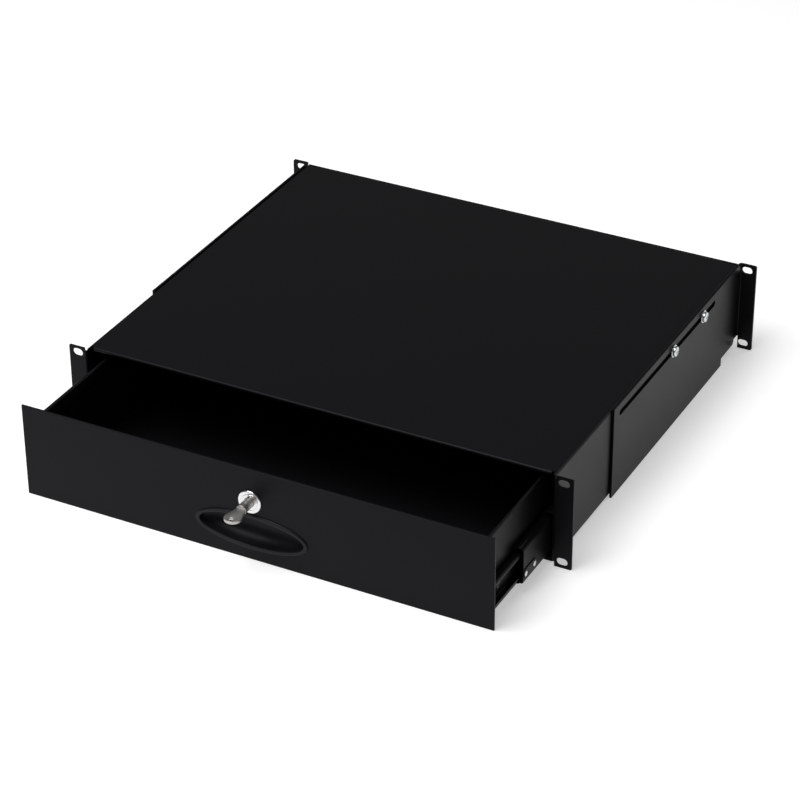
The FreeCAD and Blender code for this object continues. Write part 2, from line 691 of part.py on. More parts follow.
def stud_places():
    """Where the front panel's welded studs pass through the tray's front wall."""
    far = PANEL_HALF - STUD_FAR_EDGE
    return [(sx * x, z) for sx in (-1, 1)
            for x, z in ((far, STUD_HIGH), (far, STUD_LOW), (STUD_NEAR_SHARE * PANEL_HALF, STUD_HIGH))]


def front_openings(depth):
    """Cutters for the handle cup and the lock through the panel and the tray's front wall."""
    start = PANEL_FRONT - CUT_OVER
    grow = CUP_WALL + CUP_HOLE_GAP
    cup = Part.Face(ellipse_wire(start, CUP_Z, CUP_MOUTH_A + grow, CUP_MOUTH_B + grow))
    lock = rod((0, start, LOCK_Z), (0, 1, 0), BARREL_R + FIT_GAP, depth)
    flats = BARREL_FLAT + FIT_GAP
    flat = block((-flats, start, LOCK_Z - BEZEL_R), (flats, start + depth, LOCK_Z + BEZEL_R))
    return [cup.extrude(Vector(0, depth, 0)), lock.common(flat)]


def drawer_tray():
    """The drawer's box: floor, hemmed sides, front and back walls, folded and welded at the corners."""
    wall = DRAWER_HALF - SHEET / 2
    floor = TRAY_BOTTOM + SHEET / 2
    top = TRAY_TOP - SHEET / 2
    fold = wall - SHEET - TRAY_HEM_GAP
    half = [(fold, top - TRAY_HEM), (fold, top), (wall, top), (wall, floor)]
    corners = [(-a, b) for a, b in half] + half[::-1]
    sides = strip(corners, SHEET, TRAY_HEM_GAP / 2, in_xz(PANEL_BACK), Vector(0, TRAY_LENGTH, 0))
    front = PANEL_BACK + SHEET / 2
    back = TRAY_BACK - SHEET / 2
    ends = [(front, top), (front, floor), (back, floor), (back, top)]
    inner = DRAWER_HALF - SHEET
    cross = strip(ends, SHEET, TRAY_HEM_GAP / 2, in_yz(-inner), Vector(2 * inner, 0, 0))
    tray = joined(sides, cross)
    studs = [rod((x, PANEL_BACK - CUT_OVER, z), (0, 1, 0), STUD_R + FIT_GAP, SHEET + 2 * CUT_OVER)
             for x, z in stud_places()]
    screws = [rod((DRAWER_HALF - SHEET - CUT_OVER, RAIL_FRONT - DRAWER_OPEN + y, RAIL_Z), (1, 0, 0),
                  RAIL_SCREW_R + FIT_GAP, SHEET + 2 * CUT_OVER) for y in INNER_RAIL_SCREWS]
    return tray.cut(front_openings(PANEL_SHEET + SHEET + 2 * CUT_OVER) + studs + both_sides(screws))


def front_panel():
    """The thick front plate, its front edges eased."""
    half = PANEL_HALF
    plate = block((-half, PANEL_FRONT, EAR_BOTTOM), (half, PANEL_BACK, EAR_TOP))
    rim = [e for e in plate.Edges if e.CenterOfMass.y < PANEL_FRONT + PANEL_EDGE / 2]
    plate = plate.makeFillet(PANEL_EDGE, rim)
    return plate.cut(front_openings(PANEL_SHEET + 2 * CUT_OVER))


def panel_studs():
    """The studs welded on the panel's back."""
    return group(rod((x, PANEL_BACK, z), (0, 1, 0), STUD_R, STUD_LENGTH) for x, z in stud_places())


def panel_nuts():
    """The nuts that pull the panel against the tray."""
    seat = PANEL_BACK + SHEET
    return group(hex_nut((x, seat, z), (0, 1, 0), NUT_FLATS, STUD_R + FIT_GAP, NUT_THICKNESS)
                 for x, z in stud_places())


def cup_stations(grow):
    """The cup's cross-sections: depth behind the panel's face, rise, half width and half height."""
    return [(CUP_DEPTH * depth, CUP_LIFT * rise, CUP_MOUTH_A * wide + grow, CUP_MOUTH_B * high + grow)
            for depth, rise, wide, high in CUP_SHAPE]


def cup_form(grow, extra):
    """A scooped bowl through the cross-sections: the cavity, or the outside when grown by the wall."""
    wires = [ellipse_wire(PANEL_FRONT + y + (extra if y else 0.0), CUP_Z + rise, a, b)
             for y, rise, a, b in cup_stations(grow)]
    return Part.makeLoft(wires, True)


def cup_snap():
    """The wedge behind the tray's wall that keeps the right-hand end of the cup in."""
    start = PANEL_BACK + SHEET + CUP_HOLE_GAP
    inner = CUP_MOUTH_A - CUP_SNAP_ROOT
    outer = CUP_MOUTH_A + CUP_WALL + CUP_SNAP_REACH
    points = [Vector(inner, start, 0), Vector(outer, start, 0),
              Vector(inner + CUP_SNAP_REACH, start + CUP_SNAP_DEPTH, 0),
              Vector(inner, start + CUP_SNAP_DEPTH, 0), Vector(inner, start, 0)]
    wedge = Part.Face(Part.makePolygon(points)).extrude(Vector(0, 0, CUP_SNAP_WIDTH))
    wedge.translate(Vector(0, 0, CUP_Z - CUP_SNAP_WIDTH / 2))
    return wedge


def handle_cup():
    """The moulded finger pull: an oval rim on the panel's face and a scooped bowl behind it."""
    oval = Part.Face(ellipse_wire(PANEL_FRONT - CUP_RIM, CUP_Z, CUP_RIM_A, CUP_RIM_B))
    rim = oval.extrude(Vector(0, CUP_RIM, 0))
    crown = [e for e in rim.Edges if e.CenterOfMass.y < PANEL_FRONT - CUP_RIM + CUP_RIM_EDGE / 2]
    rim = rim.makeFillet(CUP_RIM_EDGE, crown)
    snap = cup_snap()
    body = rim.fuse([cup_form(CUP_WALL, CUP_WALL), snap, mirrored(snap)])
    mouth = Part.Face(ellipse_wire(PANEL_FRONT - CUP_RIM - CUT_OVER, CUP_Z, CUP_MOUTH_A, CUP_MOUTH_B))
    mouth = mouth.extrude(Vector(0, CUP_RIM + CUT_OVER, 0))
    return body.cut([mouth, cup_form(0.0, 0.0)]).removeSplitter()


# Lock

def lock_barrel():
    """The barrel: a rounded bezel, a body with two flats and a stepped bore for the plug."""
    front = PANEL_FRONT - BEZEL_DEPTH
    bezel = rod((0, front, LOCK_Z), (0, 1, 0), BEZEL_R, BEZEL_DEPTH)
    crown = [e for e in bezel.Edges if e.CenterOfMass.y < front + BEZEL_EDGE / 2]
    bezel = bezel.makeFillet(BEZEL_EDGE, crown)
    body = rod((0, PANEL_FRONT, LOCK_Z), (0, 1, 0), BARREL_R, BARREL_LENGTH)
    flats = block((-BARREL_FLAT, PANEL_FRONT, LOCK_Z - BARREL_R),
                  (BARREL_FLAT, BARREL_BACK, LOCK_Z + BARREL_R))
    bore = rod((0, front, LOCK_Z), (0, 1, 0), PLUG_R + TURN_GAP, BEZEL_DEPTH + BARREL_LENGTH)
    recess = rod((0, front, LOCK_Z), (0, 1, 0), PLUG_FLANGE_R + TURN_GAP, PLUG_FLANGE + TURN_GAP)
    return bezel.fuse(body.common(flats)).cut([bore, recess]).removeSplitter()


def lock_plug():
    """The plug: a flanged cylinder with the ring-shaped keyway in front and a square end for the cam."""
    front = PANEL_FRONT - BEZEL_DEPTH
    flange = rod((0, front, LOCK_Z), (0, 1, 0), PLUG_FLANGE_R, PLUG_FLANGE)
    body = rod((0, front, LOCK_Z), (0, 1, 0), PLUG_R, BEZEL_DEPTH + BARREL_LENGTH)
    half = CAM_SQUARE / 2
    square = block((-half, BARREL_BACK, LOCK_Z - half), (half, CAM_FRONT + CAM_SHEET, LOCK_Z + half))
    keyway = ring((0, front, LOCK_Z), (0, 1, 0), KEYWAY_OUT, KEYWAY_IN, KEYWAY_DEPTH)
    tapped = rod((0, CAM_FRONT + CAM_SHEET - CAM_SCREW_LENGTH, LOCK_Z), (0, 1, 0),
                 CAM_SCREW_R + FIT_GAP, CAM_SCREW_LENGTH)
    return joined(flange, body, square).cut([keyway, tapped])


def lock_cam():
    """The flat arm on the plug's square end. It points left while the drawer is unlocked."""
    hub = rod((0, CAM_FRONT, LOCK_Z), (0, 1, 0), CAM_HUB_R, CAM_SHEET)
    tip = CAM_REACH - CAM_WIDTH / 2
    end = rod((-tip, CAM_FRONT, LOCK_Z), (0, 1, 0), CAM_WIDTH / 2, CAM_SHEET)
    arm = block((-tip, CAM_FRONT, LOCK_Z - CAM_WIDTH / 2),
                (0, CAM_FRONT + CAM_SHEET, LOCK_Z + CAM_WIDTH / 2))
    half = CAM_SQUARE / 2 + FIT_GAP
    hole = block((-half, CAM_FRONT - CUT_OVER, LOCK_Z - half),
                 (half, CAM_FRONT + CAM_SHEET + CUT_OVER, LOCK_Z + half))
    return joined(hub, arm, end).cut(hole)


def cam_screw():
    """The screw that holds the cam on the plug."""
    return pan_screw((0, CAM_FRONT + CAM_SHEET, LOCK_Z), (0, 1, 0), CAM_SCREW_R, CAM_SCREW_LENGTH,
                     CAM_SCREW_HEAD_R, CAM_SCREW_HEAD)


def lock_washer():
    """The washer between the tray's front wall and the barrel's nut."""
    return ring((0, PANEL_BACK + SHEET, LOCK_Z), (0, 1, 0), LOCK_WASHER_R, BARREL_R + FIT_GAP, LOCK_WASHER)


def lock_nut():
    """The thin nut that clamps the barrel, a flat side down over the handle cup."""
    nut = hex_nut((0, 0, 0), (0, 0, 1), LOCK_NUT_FLATS, BARREL_R + FIT_GAP, LOCK_NUT)
    nut.rotate(Vector(0, 0, 0), Vector(1, 0, 0), -90)
    nut.translate(Vector(0, PANEL_BACK + SHEET + LOCK_WASHER, LOCK_Z))
    return nut


def key():
    """A tubular key: a hollow shank in the plug's ring and a flat bow with a hole for a key ring."""
    face = PANEL_FRONT - BEZEL_DEPTH
    tip = face + KEY_INSERTED
    neck_end = face - KEY_NECK
    shank = rod((0, neck_end, LOCK_Z), (0, 1, 0), KEYWAY_OUT - KEY_GAP, tip - neck_end)
    bore = rod((0, neck_end + KEY_END_WALL, LOCK_Z), (0, 1, 0), KEYWAY_IN + KEY_GAP, tip - neck_end)
    low = LOCK_Z - KEY_PLATE / 2
    centre = Vector(0, face - BOW_CENTRE, low)
    disc = Part.makeCylinder(BOW_R, KEY_PLATE, centre)
    root = neck_end + KEY_END_WALL / 2
    wide = centre.y + BOW_R / 2
    points = [Vector(-KEYWAY_IN, root, low), Vector(KEYWAY_IN, root, low),
              Vector(BOW_SHOULDER, wide, low), Vector(-BOW_SHOULDER, wide, low),
              Vector(-KEYWAY_IN, root, low)]
    neck = Part.Face(Part.makePolygon(points)).extrude(Vector(0, 0, KEY_PLATE))
    hole = Part.makeCylinder(BOW_HOLE_R, KEY_PLATE, centre - Vector(0, BOW_R / 2, 0))
    return joined(shank.cut(bore), disc, neck).cut(hole)


# Rear brackets

def bracket():
    """The right-hand bracket: a long slotted plate and the rear ear bent out of it."""
    middle = BRACKET_OUTER - BRACKET_SHEET / 2
    turn = BRACKET_SHEET + BRACKET_BEND
    ear = ear_plate(BRACKET_OUTER + BRACKET_BEND, BRACKET_BACK - BRACKET_SHEET, BRACKET_SHEET)
    corners = [(middle, BRACKET_FRONT), (middle, BRACKET_BACK - BRACKET_SHEET / 2),
               (BRACKET_OUTER + 2 * turn, BRACKET_BACK - BRACKET_SHEET / 2)]
    fold = strip(corners, BRACKET_SHEET, BRACKET_BEND, in_xy(EAR_BOTTOM), Vector(0, 0, EAR_HEIGHT))
    notch = block((HOUSING_HALF, BRACKET_BACK - NOTCH_LENGTH, EAR_BOTTOM - CUT_OVER),
                  (BRACKET_OUTER + BRACKET_BEND, BRACKET_BACK + CUT_OVER, EAR_BOTTOM + NOTCH_HEIGHT))
    inside = [e for e in notch.Edges
              if lies_along(e, (1, 0, 0)) and e.CenterOfMass.z > EAR_BOTTOM
              and e.CenterOfMass.y < BRACKET_BACK - NOTCH_LENGTH / 2]
    notch = notch.makeFillet(NOTCH_CORNER, inside)
    length = BRACKET_SLOT_END - BRACKET_SLOT_START
    long_slot = slot((middle, (BRACKET_SLOT_START + BRACKET_SLOT_END) / 2, CLAMP_Z), length,
                     BRACKET_SLOT_WIDTH, (0, 1, 0), (1, 0, 0), BRACKET_SHEET + 2 * CUT_OVER)
    body = joined(fold, ear)
    return body.cut([notch, long_slot] + ear_slots(BRACKET_BACK - BRACKET_SHEET / 2, BRACKET_SHEET))


def clamp_screw(y):
    """A screw that clamps the right-hand bracket through its slot."""
    return pan_screw((BRACKET_OUTER + CLAMP_WASHER, y, CLAMP_Z), (1, 0, 0), CLAMP_SCREW_R, CLAMP_LENGTH,
                     CLAMP_HEAD_R, CLAMP_HEAD)


def clamp_washer(y):
    """The washer that bridges the slot."""
    bore = CLAMP_SCREW_R + FIT_GAP
    return ring((BRACKET_OUTER, y, CLAMP_Z), (1, 0, 0), CLAMP_WASHER_R, bore, CLAMP_WASHER)


def clinch_nut(y):
    """The nut pressed into the inside of the housing's wall."""
    return ring((WALL_INNER, y, CLAMP_Z), (-1, 0, 0), CLINCH_NUT_R, CLAMP_SCREW_R + FIT_GAP, CLINCH_NUT)


# All nodes

def right_and_left(name, shape):
    """Writes a right-hand part and its mirrored left-hand one."""
    export("right_" + name, shape)
    export("left_" + name, mirrored(shape))


def write_housing():
    """The fixed parts."""
    export("housing_shell", housing_shell())
    export("rear_panel", rear_panel())
    export("rear_panel_screws", rear_panel_screws())
    export("lock_strike", lock_strike())
    export("clamp_nuts", group(both_sides([clinch_nut(y) for y in CLAMP_SCREWS])))
    export("clamp_washers", group(both_sides([clamp_washer(y) for y in CLAMP_SCREWS])))
    export("clamp_screws", group(both_sides([clamp_screw(y) for y in CLAMP_SCREWS])))


def write_rails():
    """Both telescopic rails, with their cages, balls, stops and fasteners."""
    right_and_left("outer_rail", outer_rail())
    right_and_left("middle_rail", middle_rail())
    right_and_left("inner_rail", inner_rail())
    right_and_left("outer_cage", outer_cage())
    right_and_left("inner_cage", inner_cage())
    right_and_left("outer_balls", balls(CAGE_HOME - OUTER_CAGE_SHIFT, OUTER_BALL_S, OUTER_BALL_H,
                                        OUTER_BALL_R))
    right_and_left("inner_balls", balls(CAGE_HOME - INNER_CAGE_SHIFT, INNER_BALL_S, INNER_BALL_H,
                                        INNER_BALL_R))
    right_and_left("rail_catch", rail_catch())
    right_and_left("catch_rivets", group(catch_rivet(y) for y in catch_rivet_places()))
    rivets = [outer_rail_rivet(RAIL_FRONT + y) for y in OUTER_RAIL_RIVETS]
    screws = [inner_rail_screw(RAIL_FRONT - DRAWER_OPEN + y) for y in INNER_RAIL_SCREWS]
    export("outer_rail_rivets", group(both_sides(rivets)))
    export("inner_rail_screws", group(both_sides(screws)))
    export("rail_bumpers", group(both_sides([rail_bumper()])))


def write_drawer():
    """The drawer, its handle and its lock."""
    export("drawer_tray", drawer_tray())
    export("front_panel", front_panel())
    export("panel_studs", panel_studs())
    export("panel_nuts", panel_nuts())
    export("handle_cup", handle_cup())
    export("lock_barrel", lock_barrel())
    export("lock_washer", lock_washer())
    export("lock_nut", lock_nut())
    export("lock_plug", lock_plug())
    export("lock_cam", lock_cam())
    export("cam_screw", cam_screw())
    export("key", key())


os.makedirs("parts", exist_ok=True)
write_housing()
write_rails()
write_drawer()
right_and_left("rear_bracket", bracket())
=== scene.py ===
import json
import logging
import math
from dataclasses import dataclass
from enum import Enum
from typing import Callable, Protocol

import bmesh
import bpy
import numpy as np
from mathutils import Matrix, Vector


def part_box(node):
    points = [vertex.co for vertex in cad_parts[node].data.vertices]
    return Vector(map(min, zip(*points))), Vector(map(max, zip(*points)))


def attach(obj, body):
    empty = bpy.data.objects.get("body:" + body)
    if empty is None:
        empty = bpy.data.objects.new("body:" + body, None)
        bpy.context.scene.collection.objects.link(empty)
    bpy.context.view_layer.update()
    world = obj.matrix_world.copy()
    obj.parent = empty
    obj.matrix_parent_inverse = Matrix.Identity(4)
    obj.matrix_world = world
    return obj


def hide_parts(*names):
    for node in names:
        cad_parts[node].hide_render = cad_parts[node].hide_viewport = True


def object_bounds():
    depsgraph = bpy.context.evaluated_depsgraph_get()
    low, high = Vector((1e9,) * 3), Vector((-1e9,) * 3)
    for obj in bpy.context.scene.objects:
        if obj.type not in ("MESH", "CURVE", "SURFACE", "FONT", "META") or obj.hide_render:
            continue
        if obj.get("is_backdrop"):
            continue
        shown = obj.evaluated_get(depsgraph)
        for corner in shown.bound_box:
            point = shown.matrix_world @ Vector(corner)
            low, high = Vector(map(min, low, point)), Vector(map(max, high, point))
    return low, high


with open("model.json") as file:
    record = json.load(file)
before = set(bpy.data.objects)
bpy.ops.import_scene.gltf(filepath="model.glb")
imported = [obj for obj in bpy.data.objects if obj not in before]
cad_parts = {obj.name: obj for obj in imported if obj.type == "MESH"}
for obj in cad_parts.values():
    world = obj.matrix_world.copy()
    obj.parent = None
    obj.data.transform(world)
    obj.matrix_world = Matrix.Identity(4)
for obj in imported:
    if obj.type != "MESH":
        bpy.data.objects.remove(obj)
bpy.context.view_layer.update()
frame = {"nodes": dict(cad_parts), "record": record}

# The lockable rack drawer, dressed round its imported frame. Lengths are in metres unless a name says mm.
# X points right as seen from the front, +Y runs into the rack and +Z points up.

MM = 0.001

# Points nearer than this are one point
MERGE = 1e-7

# The least cosine that a length is divided by
LEAST_COSINE = 1e-6

# Decimals of a metre by which solids are put in order
ORDER_DECIMALS = 5

# Edges that bend more than the first angle stay sharp, and faces that bend less than the second are one
SHARP_ANGLE = math.radians(32.0)
FLAT_ANGLE = math.radians(0.3)

log = logging.getLogger("rack_drawer")


class Slot(Enum):
    """The record's material slots."""

    STEEL = "black_steel"
    DARK_SCREW = "black_screws"
    RAIL = "rail_steel"
    CAGE = "cage_steel"
    BALL = "ball_steel"
    ZINC = "zinc"
    CHROME = "lock_chrome"
    KEY = "key_nickel"
    PLASTIC = "black_plastic"
    RUBBER = "bumper_rubber"


class Axis(Enum):
    """A direction that a turned piece's head or mouth faces."""

    RIGHT = (1.0, 0.0, 0.0)
    LEFT = (-1.0, 0.0, 0.0)
    FRONT = (0.0, -1.0, 0.0)
    BACK = (0.0, 1.0, 0.0)


BODY_OF = {node: body for body, nodes in frame["record"]["behaviour"]["bodies"].items() for node in nodes}
SLOT_OF = {part["node"]: Slot(part["material_slot"]) for part in frame["record"]["subparts"]}


# Finishes

# The finer of the relief's two noises: how many times finer, and how much it adds
FINER = 4.0
FINER_SHARE = 0.33

# The mottle: patches per metre, and the values of its noise between which the shine changes
MOTTLE_SCALE = 28.0
MOTTLE_LOW = 0.3
MOTTLE_HIGH = 0.7


def math_node(tree: bpy.types.NodeTree, operation: str, second: float | None = None) -> bpy.types.Node:
    """Adds a Math node.

    Args:
        tree: The node tree.
        operation: What the node works out.
        second: Its second number, where that is fixed.

    Returns:
        The node.
    """
    node = tree.nodes.new("ShaderNodeMath")
    node.operation = operation
    if second is not None:
        node.inputs[1].default_value = second
    return node


def noise_node(tree: bpy.types.NodeTree, detail: float) -> bpy.types.Node:
    """Adds a Noise node.

    Args:
        tree: The node tree.
        detail: How many octaves it has.

    Returns:
        The node.
    """
    node = tree.nodes.new("ShaderNodeTexNoise")
    node.inputs["Detail"].default_value = detail
    return node


def grain_group() -> bpy.types.NodeTree:
    """The shared surface effect: a fine relief and a broad mottle.

    The height is one noise at the grain's size plus a share of another, finer one. The mottle is a slow noise
    of a few centimetres.

    Returns:
        The shader node group, with inputs Vector and Grain and outputs Height and Mottle.
    """
    name = "coat_grain"
    if name in bpy.data.node_groups:
        return bpy.data.node_groups[name]
    tree = bpy.data.node_groups.new(name, "ShaderNodeTree")
    tree.interface.new_socket("Vector", in_out="INPUT", socket_type="NodeSocketVector")
    tree.interface.new_socket("Grain", in_out="INPUT", socket_type="NodeSocketFloat")
    tree.interface.new_socket("Height", in_out="OUTPUT", socket_type="NodeSocketFloat")
    tree.interface.new_socket("Mottle", in_out="OUTPUT", socket_type="NodeSocketFloat")
    inlet = tree.nodes.new("NodeGroupInput")
    outlet = tree.nodes.new("NodeGroupOutput")
    coarse = noise_node(tree, detail=2.0)
    fine = noise_node(tree, detail=1.0)
    broad = noise_node(tree, detail=4.0)
    broad.inputs["Scale"].default_value = MOTTLE_SCALE
    finer = math_node(tree, "MULTIPLY", FINER)
    blend = math_node(tree, "MULTIPLY_ADD", FINER_SHARE)
    link = tree.links.new
    for noise in (coarse, fine, broad):
        link(inlet.outputs["Vector"], noise.inputs["Vector"])
    link(inlet.outputs["Grain"], coarse.inputs["Scale"])
    link(inlet.outputs["Grain"], finer.inputs[0])
    link(finer.outputs[0], fine.inputs["Scale"])
    link(fine.outputs["Fac"], blend.inputs[0])
    link(coarse.outputs["Fac"], blend.inputs[2])
    link(blend.outputs[0], outlet.inputs["Height"])
    link(broad.outputs["Fac"], outlet.inputs["Mottle"])
    return tree


@dataclass(frozen=True)
class Finish:
    """One material: a colour, a shine and a fine relief.

    Attributes:
        name: What the material is called.
        colour: The base colour.
        metallic: 1 for bare or bright metal, 0 for a coat, and between them for dark plating.
        smooth: Roughness where the mottle is low.
        rough: Roughness where the mottle is high.
        grain: Size of the relief's bumps.
        relief: Height of the relief.
        specular: How strongly a coat reflects.
        tone: How far the colour varies either way.
        gleam: The colour of a coat's reflections.
        stretch: How much the relief is drawn out along each axis, as a brushed or rolled metal's is.
    """

    name: str
    colour: tuple[float, float, float]
    metallic: float
    smooth: float
    rough: float
    grain: float
    relief: float
    specular: float = 0.5
    tone: float = 0.05
    gleam: tuple[float, float, float] = (1.0, 1.0, 1.0)
    stretch: tuple[float, float, float] = (1.0, 1.0, 1.0)

    def shade(self, factor: float) -> tuple[float, float, float, float]:
        """The colour, lighter or darker by a factor."""
        red, green, blue = (min(1.0, part * factor) for part in self.colour)
        return red, green, blue, 1.0

    def build(self) -> bpy.types.Material:
        """Makes the material.

        Returns:
            A Principled material: the mottle moves its roughness and tone, and the relief its normal.
        """
        material = bpy.data.materials.new(self.name)
        material.use_nodes = True
        nodes, link = material.node_tree.nodes, material.node_tree.links.new
        shader = nodes["Principled BSDF"]
        shader.inputs["Metallic"].default_value = self.metallic
        shader.inputs["Specular IOR Level"].default_value = self.specular
        shader.inputs["Specular Tint"].default_value = (*self.gleam, 1.0)
        place = nodes.new("ShaderNodeTexCoord")
        drawn = nodes.new("ShaderNodeMapping")
        drawn.inputs["Scale"].default_value = tuple(1.0 / part for part in self.stretch)
        grain = nodes.new("ShaderNodeGroup")
        grain.node_tree = grain_group()
        grain.inputs["Grain"].default_value = 1.0 / self.grain
        shine = nodes.new("ShaderNodeMapRange")
        shine.inputs["From Min"].default_value = MOTTLE_LOW
        shine.inputs["From Max"].default_value = MOTTLE_HIGH
        shine.inputs["To Min"].default_value = self.smooth
        shine.inputs["To Max"].default_value = self.rough
        tint = nodes.new("ShaderNodeMix")
        tint.data_type = "RGBA"
        tint.inputs["A"].default_value = self.shade(1.0 - self.tone)
        tint.inputs["B"].default_value = self.shade(1.0 + self.tone)
        bump = nodes.new("ShaderNodeBump")
        bump.inputs["Strength"].default_value = 1.0
        bump.inputs["Distance"].default_value = self.relief
        link(place.outputs["Object"], drawn.inputs["Vector"])
        link(drawn.outputs["Vector"], grain.inputs["Vector"])
        link(grain.outputs["Mottle"], shine.inputs["Value"])
        link(shine.outputs["Result"], shader.inputs["Roughness"])
        link(grain.outputs["Mottle"], tint.inputs["Factor"])
        link(tint.outputs["Result"], shader.inputs["Base Color"])
        link(grain.outputs["Height"], bump.inputs["Height"])
        link(bump.outputs["Normal"], shader.inputs["Normal"])
        return material


# The faintly blue reflections of the black coats
COOL = (0.93, 0.91, 1.0)

FINISHES: dict[Slot, Finish] = {
    Slot.STEEL: Finish("black powder coat", (0.0047, 0.0045, 0.0053), metallic=0.0, smooth=0.365, rough=0.395,
                       grain=1.1 * MM, relief=0.01 * MM, specular=0.108, gleam=COOL),
    Slot.DARK_SCREW: Finish("black zinc", (0.02, 0.02, 0.022), metallic=0.7, smooth=0.3, rough=0.42,
                            grain=0.6 * MM, relief=0.003 * MM),
    Slot.RAIL: Finish("black rail coat", (0.0054, 0.0052, 0.006), metallic=0.0, smooth=0.37, rough=0.42,
                      grain=1.6 * MM, relief=0.004 * MM, specular=0.11, gleam=COOL, stretch=(1.0, 9.0, 1.0)),
    Slot.CAGE: Finish("rolled cage steel", (0.42, 0.42, 0.43), metallic=1.0, smooth=0.3, rough=0.42,
                      grain=0.5 * MM, relief=0.004 * MM, stretch=(1.0, 12.0, 1.0)),
    Slot.BALL: Finish("polished ball steel", (0.7, 0.7, 0.71), metallic=1.0, smooth=0.06, rough=0.1,
                      grain=0.8 * MM, relief=0.0002 * MM),
    Slot.ZINC: Finish("bright zinc plate", (0.66, 0.67, 0.68), metallic=1.0, smooth=0.22, rough=0.34,
                      grain=0.7 * MM, relief=0.003 * MM),
    Slot.CHROME: Finish("polished lock chrome", (0.74, 0.74, 0.75), metallic=1.0, smooth=0.08, rough=0.16,
                        grain=1.5 * MM, relief=0.0006 * MM),
    Slot.KEY: Finish("satin nickel key", (0.5, 0.49, 0.48), metallic=1.0, smooth=0.36, rough=0.46,
                     grain=0.35 * MM, relief=0.003 * MM, stretch=(1.0, 6.0, 1.0)),
    Slot.PLASTIC: Finish("grained black plastic", (0.0074, 0.0072, 0.008), metallic=0.0, smooth=0.36,
                         rough=0.42, grain=0.55 * MM, relief=0.008 * MM, specular=0.19, gleam=COOL),
    Slot.RUBBER: Finish("bumper rubber", (0.012, 0.012, 0.012), metallic=0.0, smooth=0.7, rough=0.8,
                        grain=0.8 * MM, relief=0.01 * MM, specular=0.3),
}


# Meshes

@dataclass
class Surface:
    """A mesh held as numpy arrays.

    Attributes:
        points: One row per vertex.
        quads: One row of four vertex numbers per face.
    """

    points: np.ndarray
    quads: np.ndarray

    @staticmethod
    def woven(grid: np.ndarray, ring: bool = True, loop: bool = False) -> "Surface":
        """Joins a grid of points with quads: face (i, j) spans rows i and i+1 and columns j and j+1.

        Args:
            grid: Points as an array of rows by columns by three.
            ring: Whether the last column meets the first.
            loop: Whether the last row meets the first.

        Returns:
            The surface.
        """
        rows, columns = grid.shape[:2]
        i = np.arange(rows if loop else rows - 1)[:, None]
        j = np.arange(columns if ring else columns - 1)[None, :]
        here, below = i * columns, (i + 1) % rows * columns
        beside = (j + 1) % columns
        quads = np.stack([here + j, here + beside, below + beside, below + j], -1)
        return Surface(grid.reshape(-1, 3), quads.reshape(-1, 4))

    @staticmethod
    def together(parts: list["Surface"]) -> "Surface":
        """Joins several surfaces, each with its vertex numbers moved past the ones before.

        Args:
            parts: The surfaces.

        Returns:
            One surface.
        """
        starts = np.cumsum([0] + [len(part.points) for part in parts[:-1]])
        quads = [part.quads + start for part, start in zip(parts, starts)]
        return Surface(np.concatenate([part.points for part in parts]), np.concatenate(quads))

    def mesh(self, name: str) -> bpy.types.Mesh:
        """Puts the arrays into a mesh, closes its poles and turns its faces outwards.

        Args:
            name: The mesh's name.

        Returns:
            The mesh, shaded smooth up to the sharp angle.
        """
        mesh = bpy.data.meshes.new(name)
        mesh.vertices.add(len(self.points))
        mesh.vertices.foreach_set("co", self.points.astype(np.float32).ravel())
        mesh.loops.add(self.quads.size)
        mesh.loops.foreach_set("vertex_index", self.quads.astype(np.int32).ravel())
        mesh.polygons.add(len(self.quads))
        mesh.polygons.foreach_set("loop_start", np.arange(0, self.quads.size, 4, dtype=np.int32))
        mesh.update(calc_edges=True)
        work = bmesh.new()
        work.from_mesh(mesh)
        bmesh.ops.remove_doubles(work, verts=work.verts, dist=MERGE)
        bmesh.ops.dissolve_degenerate(work, edges=work.edges, dist=MERGE)
        bmesh.ops.recalc_face_normals(work, faces=work.faces)
        smooth_by_angle(work)
        work.to_mesh(mesh)
        work.free()
        return mesh


def smooth_by_angle(work: bmesh.types.BMesh) -> None:
    """Shades every face smooth and marks the edges past the sharp angle.

    Args:
        work: The mesh being edited.
    """
    for face in work.faces:
        face.smooth = True
    for edge in work.edges:
        edge.smooth = len(edge.link_faces) == 2 and edge.calc_face_angle() < SHARP_ANGLE


def arc(radius: float, start: float, end: float, steps: int = 6) -> np.ndarray:
    """Points (r cos t, r sin t) for t from start to end, in degrees.

    Args:
        radius: The arc's radius.
        start: First angle.
        end: Last angle.
        steps: How many chords.

    Returns:
        An array of steps + 1 rows.
    """
    turn = np.radians(np.linspace(start, end, steps + 1))
    return radius * np.stack([np.cos(turn), np.sin(turn)], -1)


def full_turn(segments: int) -> np.ndarray:
    """Angles spread evenly round a circle."""
    return np.linspace(0.0, 2.0 * math.pi, segments, endpoint=False)


def polar_grid(radius: np.ndarray, height: np.ndarray, turn: np.ndarray) -> np.ndarray:
    """Rings of points (r cos t, r sin t, h).

    Args:
        radius: A row per ring, with one radius or one for each angle.
        height: A row per ring, with one height or one for each angle.
        turn: The angles.

    Returns:
        Points as an array of rings by angles by three.
    """
    across = radius * np.cos(turn)
    return np.stack([across, radius * np.sin(turn), np.broadcast_to(height, across.shape)], -1)


def basis(axis: Axis) -> np.ndarray:
    """Three rows for an axis: two directions across it and the axis itself.

    Args:
        axis: The axis.

    Returns:
        A matrix of three unit rows.
    """
    along = np.array(axis.value)
    up = np.array([0.0, 0.0, 1.0])
    return np.stack([np.cross(up, along), up, along])


